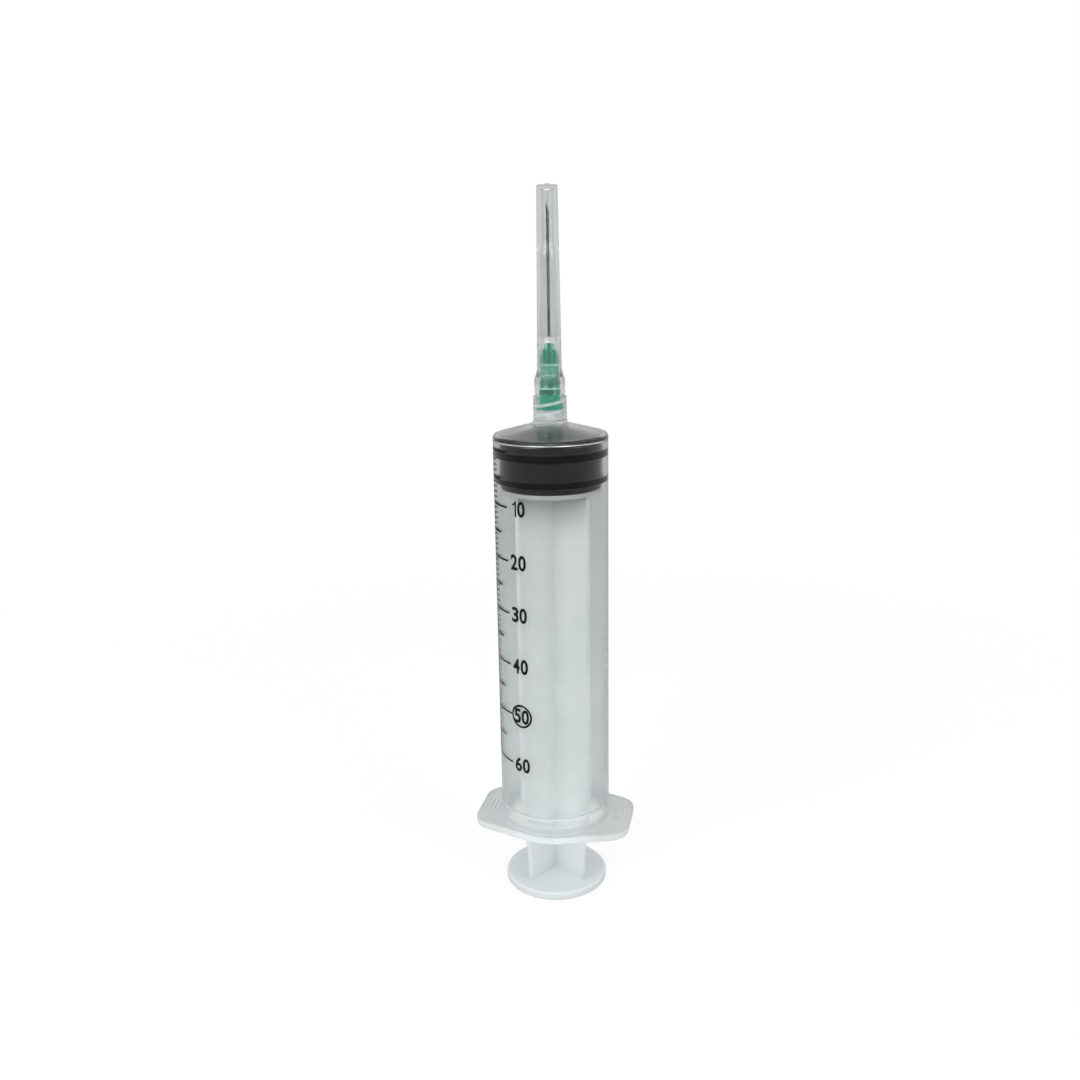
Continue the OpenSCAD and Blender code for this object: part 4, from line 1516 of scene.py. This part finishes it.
@dataclass
class Studio:
    """Floor, backdrop, surroundings, lamps and camera, in metres.

    The floor_paper and backdrop_paper fields hold what the shows and through fields of their
    Paper are.
    """

    eye: Triple = (0.0, -0.2905, 0.17944)
    yaw: float = math.radians(-0.66)
    pitch: float = math.radians(14.40)
    roll: float = math.radians(-0.98)
    lens: float = 35.6
    sensor: float = 36.0
    clip_start: float = 0.01
    floor_size: float = 8.0
    backdrop_away: float = 2.2
    backdrop_sunk: float = 0.5
    floor_paper: tuple[float, Point] = (0.75, (0.8, 0.58))
    backdrop_paper: tuple[float, Point] = (1.0, (0.71, 0.71))
    mirrored: Triple = (0.54, 0.33, 0.03)
    seen_through: Triple = (0.68, 0.6, 0.3)
    ramp_stops: Triple = (0.85, 0.5, 0.2)
    ambient: float = 0.5
    cast: Triple = (0.93, 1.0, 1.0)
    bounces: int = 24
    lamps: tuple[Lamp, ...] = (
        Lamp("key lamp", -45, 0.6, 0.8, (0.6, 0.7), 6.5, shines=False),
        Lamp("fill lamp", 50, 0.5, 0.85, (0.6, 0.7), 4.5, shines=False),
        Lamp("top lamp", 180, 1.0, 0.35, (0.6, 0.6), 2.5))

    def camera(self) -> None:
        """The camera at the photograph's angle."""
        level, ahead_flat = (Vector((math.cos(self.yaw), -math.sin(self.yaw), 0)),
                             Vector((math.sin(self.yaw), math.cos(self.yaw), 0)))
        ahead = ahead_flat * math.cos(self.pitch) - Vector(AXIS) * math.sin(self.pitch)
        upright = level.cross(ahead)
        right = level * math.cos(self.roll) + upright * math.sin(self.roll)
        up = upright * math.cos(self.roll) - level * math.sin(self.roll)
        pose = Matrix((right, up, -ahead)).transposed().to_4x4()
        data = bpy.data.cameras.new("camera")
        data.lens, data.sensor_width, data.sensor_fit = self.lens, self.sensor, "HORIZONTAL"
        data.clip_start = self.clip_start
        eye = bpy.data.objects.new("camera", data)
        eye.matrix_world = about_axis(PHOTO_TURN) @ Matrix.Translation(self.eye) @ pose
        bpy.context.scene.collection.objects.link(eye)
        bpy.context.scene.camera = eye

    def ground(self) -> None:
        """Floor and backdrop."""
        half = self.floor_size / 2
        middle = Matrix.Translation((0, self.backdrop_away, half - self.backdrop_sunk))
        back, _, front = self.mirrored
        sheets = (("floor", Matrix.Identity(4), self.floor_paper),
                  ("backdrop", about_axis(PHOTO_TURN) @ middle @ UPRIGHT, self.backdrop_paper))
        for name, place, (shows, through) in sheets:
            bm = bmesh.new()
            bmesh.ops.create_grid(bm, x_segments=1, y_segments=1, size=half, matrix=place)
            sheet = loose_object(bm, name)
            paper = Paper(f"{name} paper", shows, through, (back, front))
            sheet.data.materials.append(paper.material())

    def room(self, graph: Graph, towards: NodeSocket, levels: Triple) -> NodeSocket:
        """Grey round the room.

        Args:
            graph: The world's nodes.
            towards: From 0 on the camera's side to 1 behind the syringe.
            levels: Its brightness behind the syringe, at the sides and on the camera's side.

        Returns:
            The colour.
        """
        ramp = graph.add("ShaderNodeValToRGB", Fac=towards)
        stops = ramp.color_ramp.elements
        greys = [[*(share * level for share in self.cast), 1.0] for level in levels]
        stops[0].color, stops[1].color = greys[-1], greys[0]
        for position, grey in zip(self.ramp_stops, greys):
            stops.new(position).color = grey
        return ramp.outputs["Color"]

    def surroundings(self) -> None:
        """World: white for the camera, and a grey room that gloss and glass show at their edges."""
        world = bpy.data.worlds.new("studio")
        bpy.context.scene.world = world
        graph = Graph(world, "Generated")
        round_part = graph.add("ShaderNodeMapping", Vector=graph.place,
                               Rotation=(0, 0, -math.radians(PHOTO_TURN)))
        split = graph.add("ShaderNodeSeparateXYZ", Vector=round_part.outputs["Vector"])
        towards = graph.spread(split.outputs["Y"], 0.0, 1.0, -1.0, 1.0)
        path = graph.add("ShaderNodeLightPath").outputs
        colour = self.room(graph, towards, self.mirrored)
        instead = (("Is Transmission Ray", self.room(graph, towards, self.seen_through)),
                   ("Is Diffuse Ray", (self.ambient, self.ambient, self.ambient)),
                   ("Is Camera Ray", (1.0, 1.0, 1.0)))
        for ray, value in instead:
            colour = graph.tint(path[ray], colour, value)
        light = graph.add("ShaderNodeBackground", Color=colour)
        graph.add("ShaderNodeOutputWorld", Surface=light.outputs[0])

    def build(self) -> None:
        """Builds the studio."""
        self.camera()
        self.ground()
        self.surroundings()
        for lamp in self.lamps:
            lamp.build()
        scene = bpy.context.scene
        scene.view_settings.view_transform = "Standard"
        scene.cycles.max_bounces = self.bounces
        scene.cycles.transmission_bounces = self.bounces
        scene.cycles.transparent_max_bounces = self.bounces
        log.info("studio with floor, backdrop, lamps and camera")


def main() -> None:
    """Builds the syringe and its studio."""
    logging.basicConfig(level=logging.INFO, format="%(message)s")
    for part in (Barrel(), ScalePrint(), Stopper(), PlungerRod(), NeedleHub(), BondBead(),
                 Cannula(), NeedleCap(), Studio()):
        log.info("building %s", type(part).__name__)
        part.build()


if __name__ == "__main__":
    main()
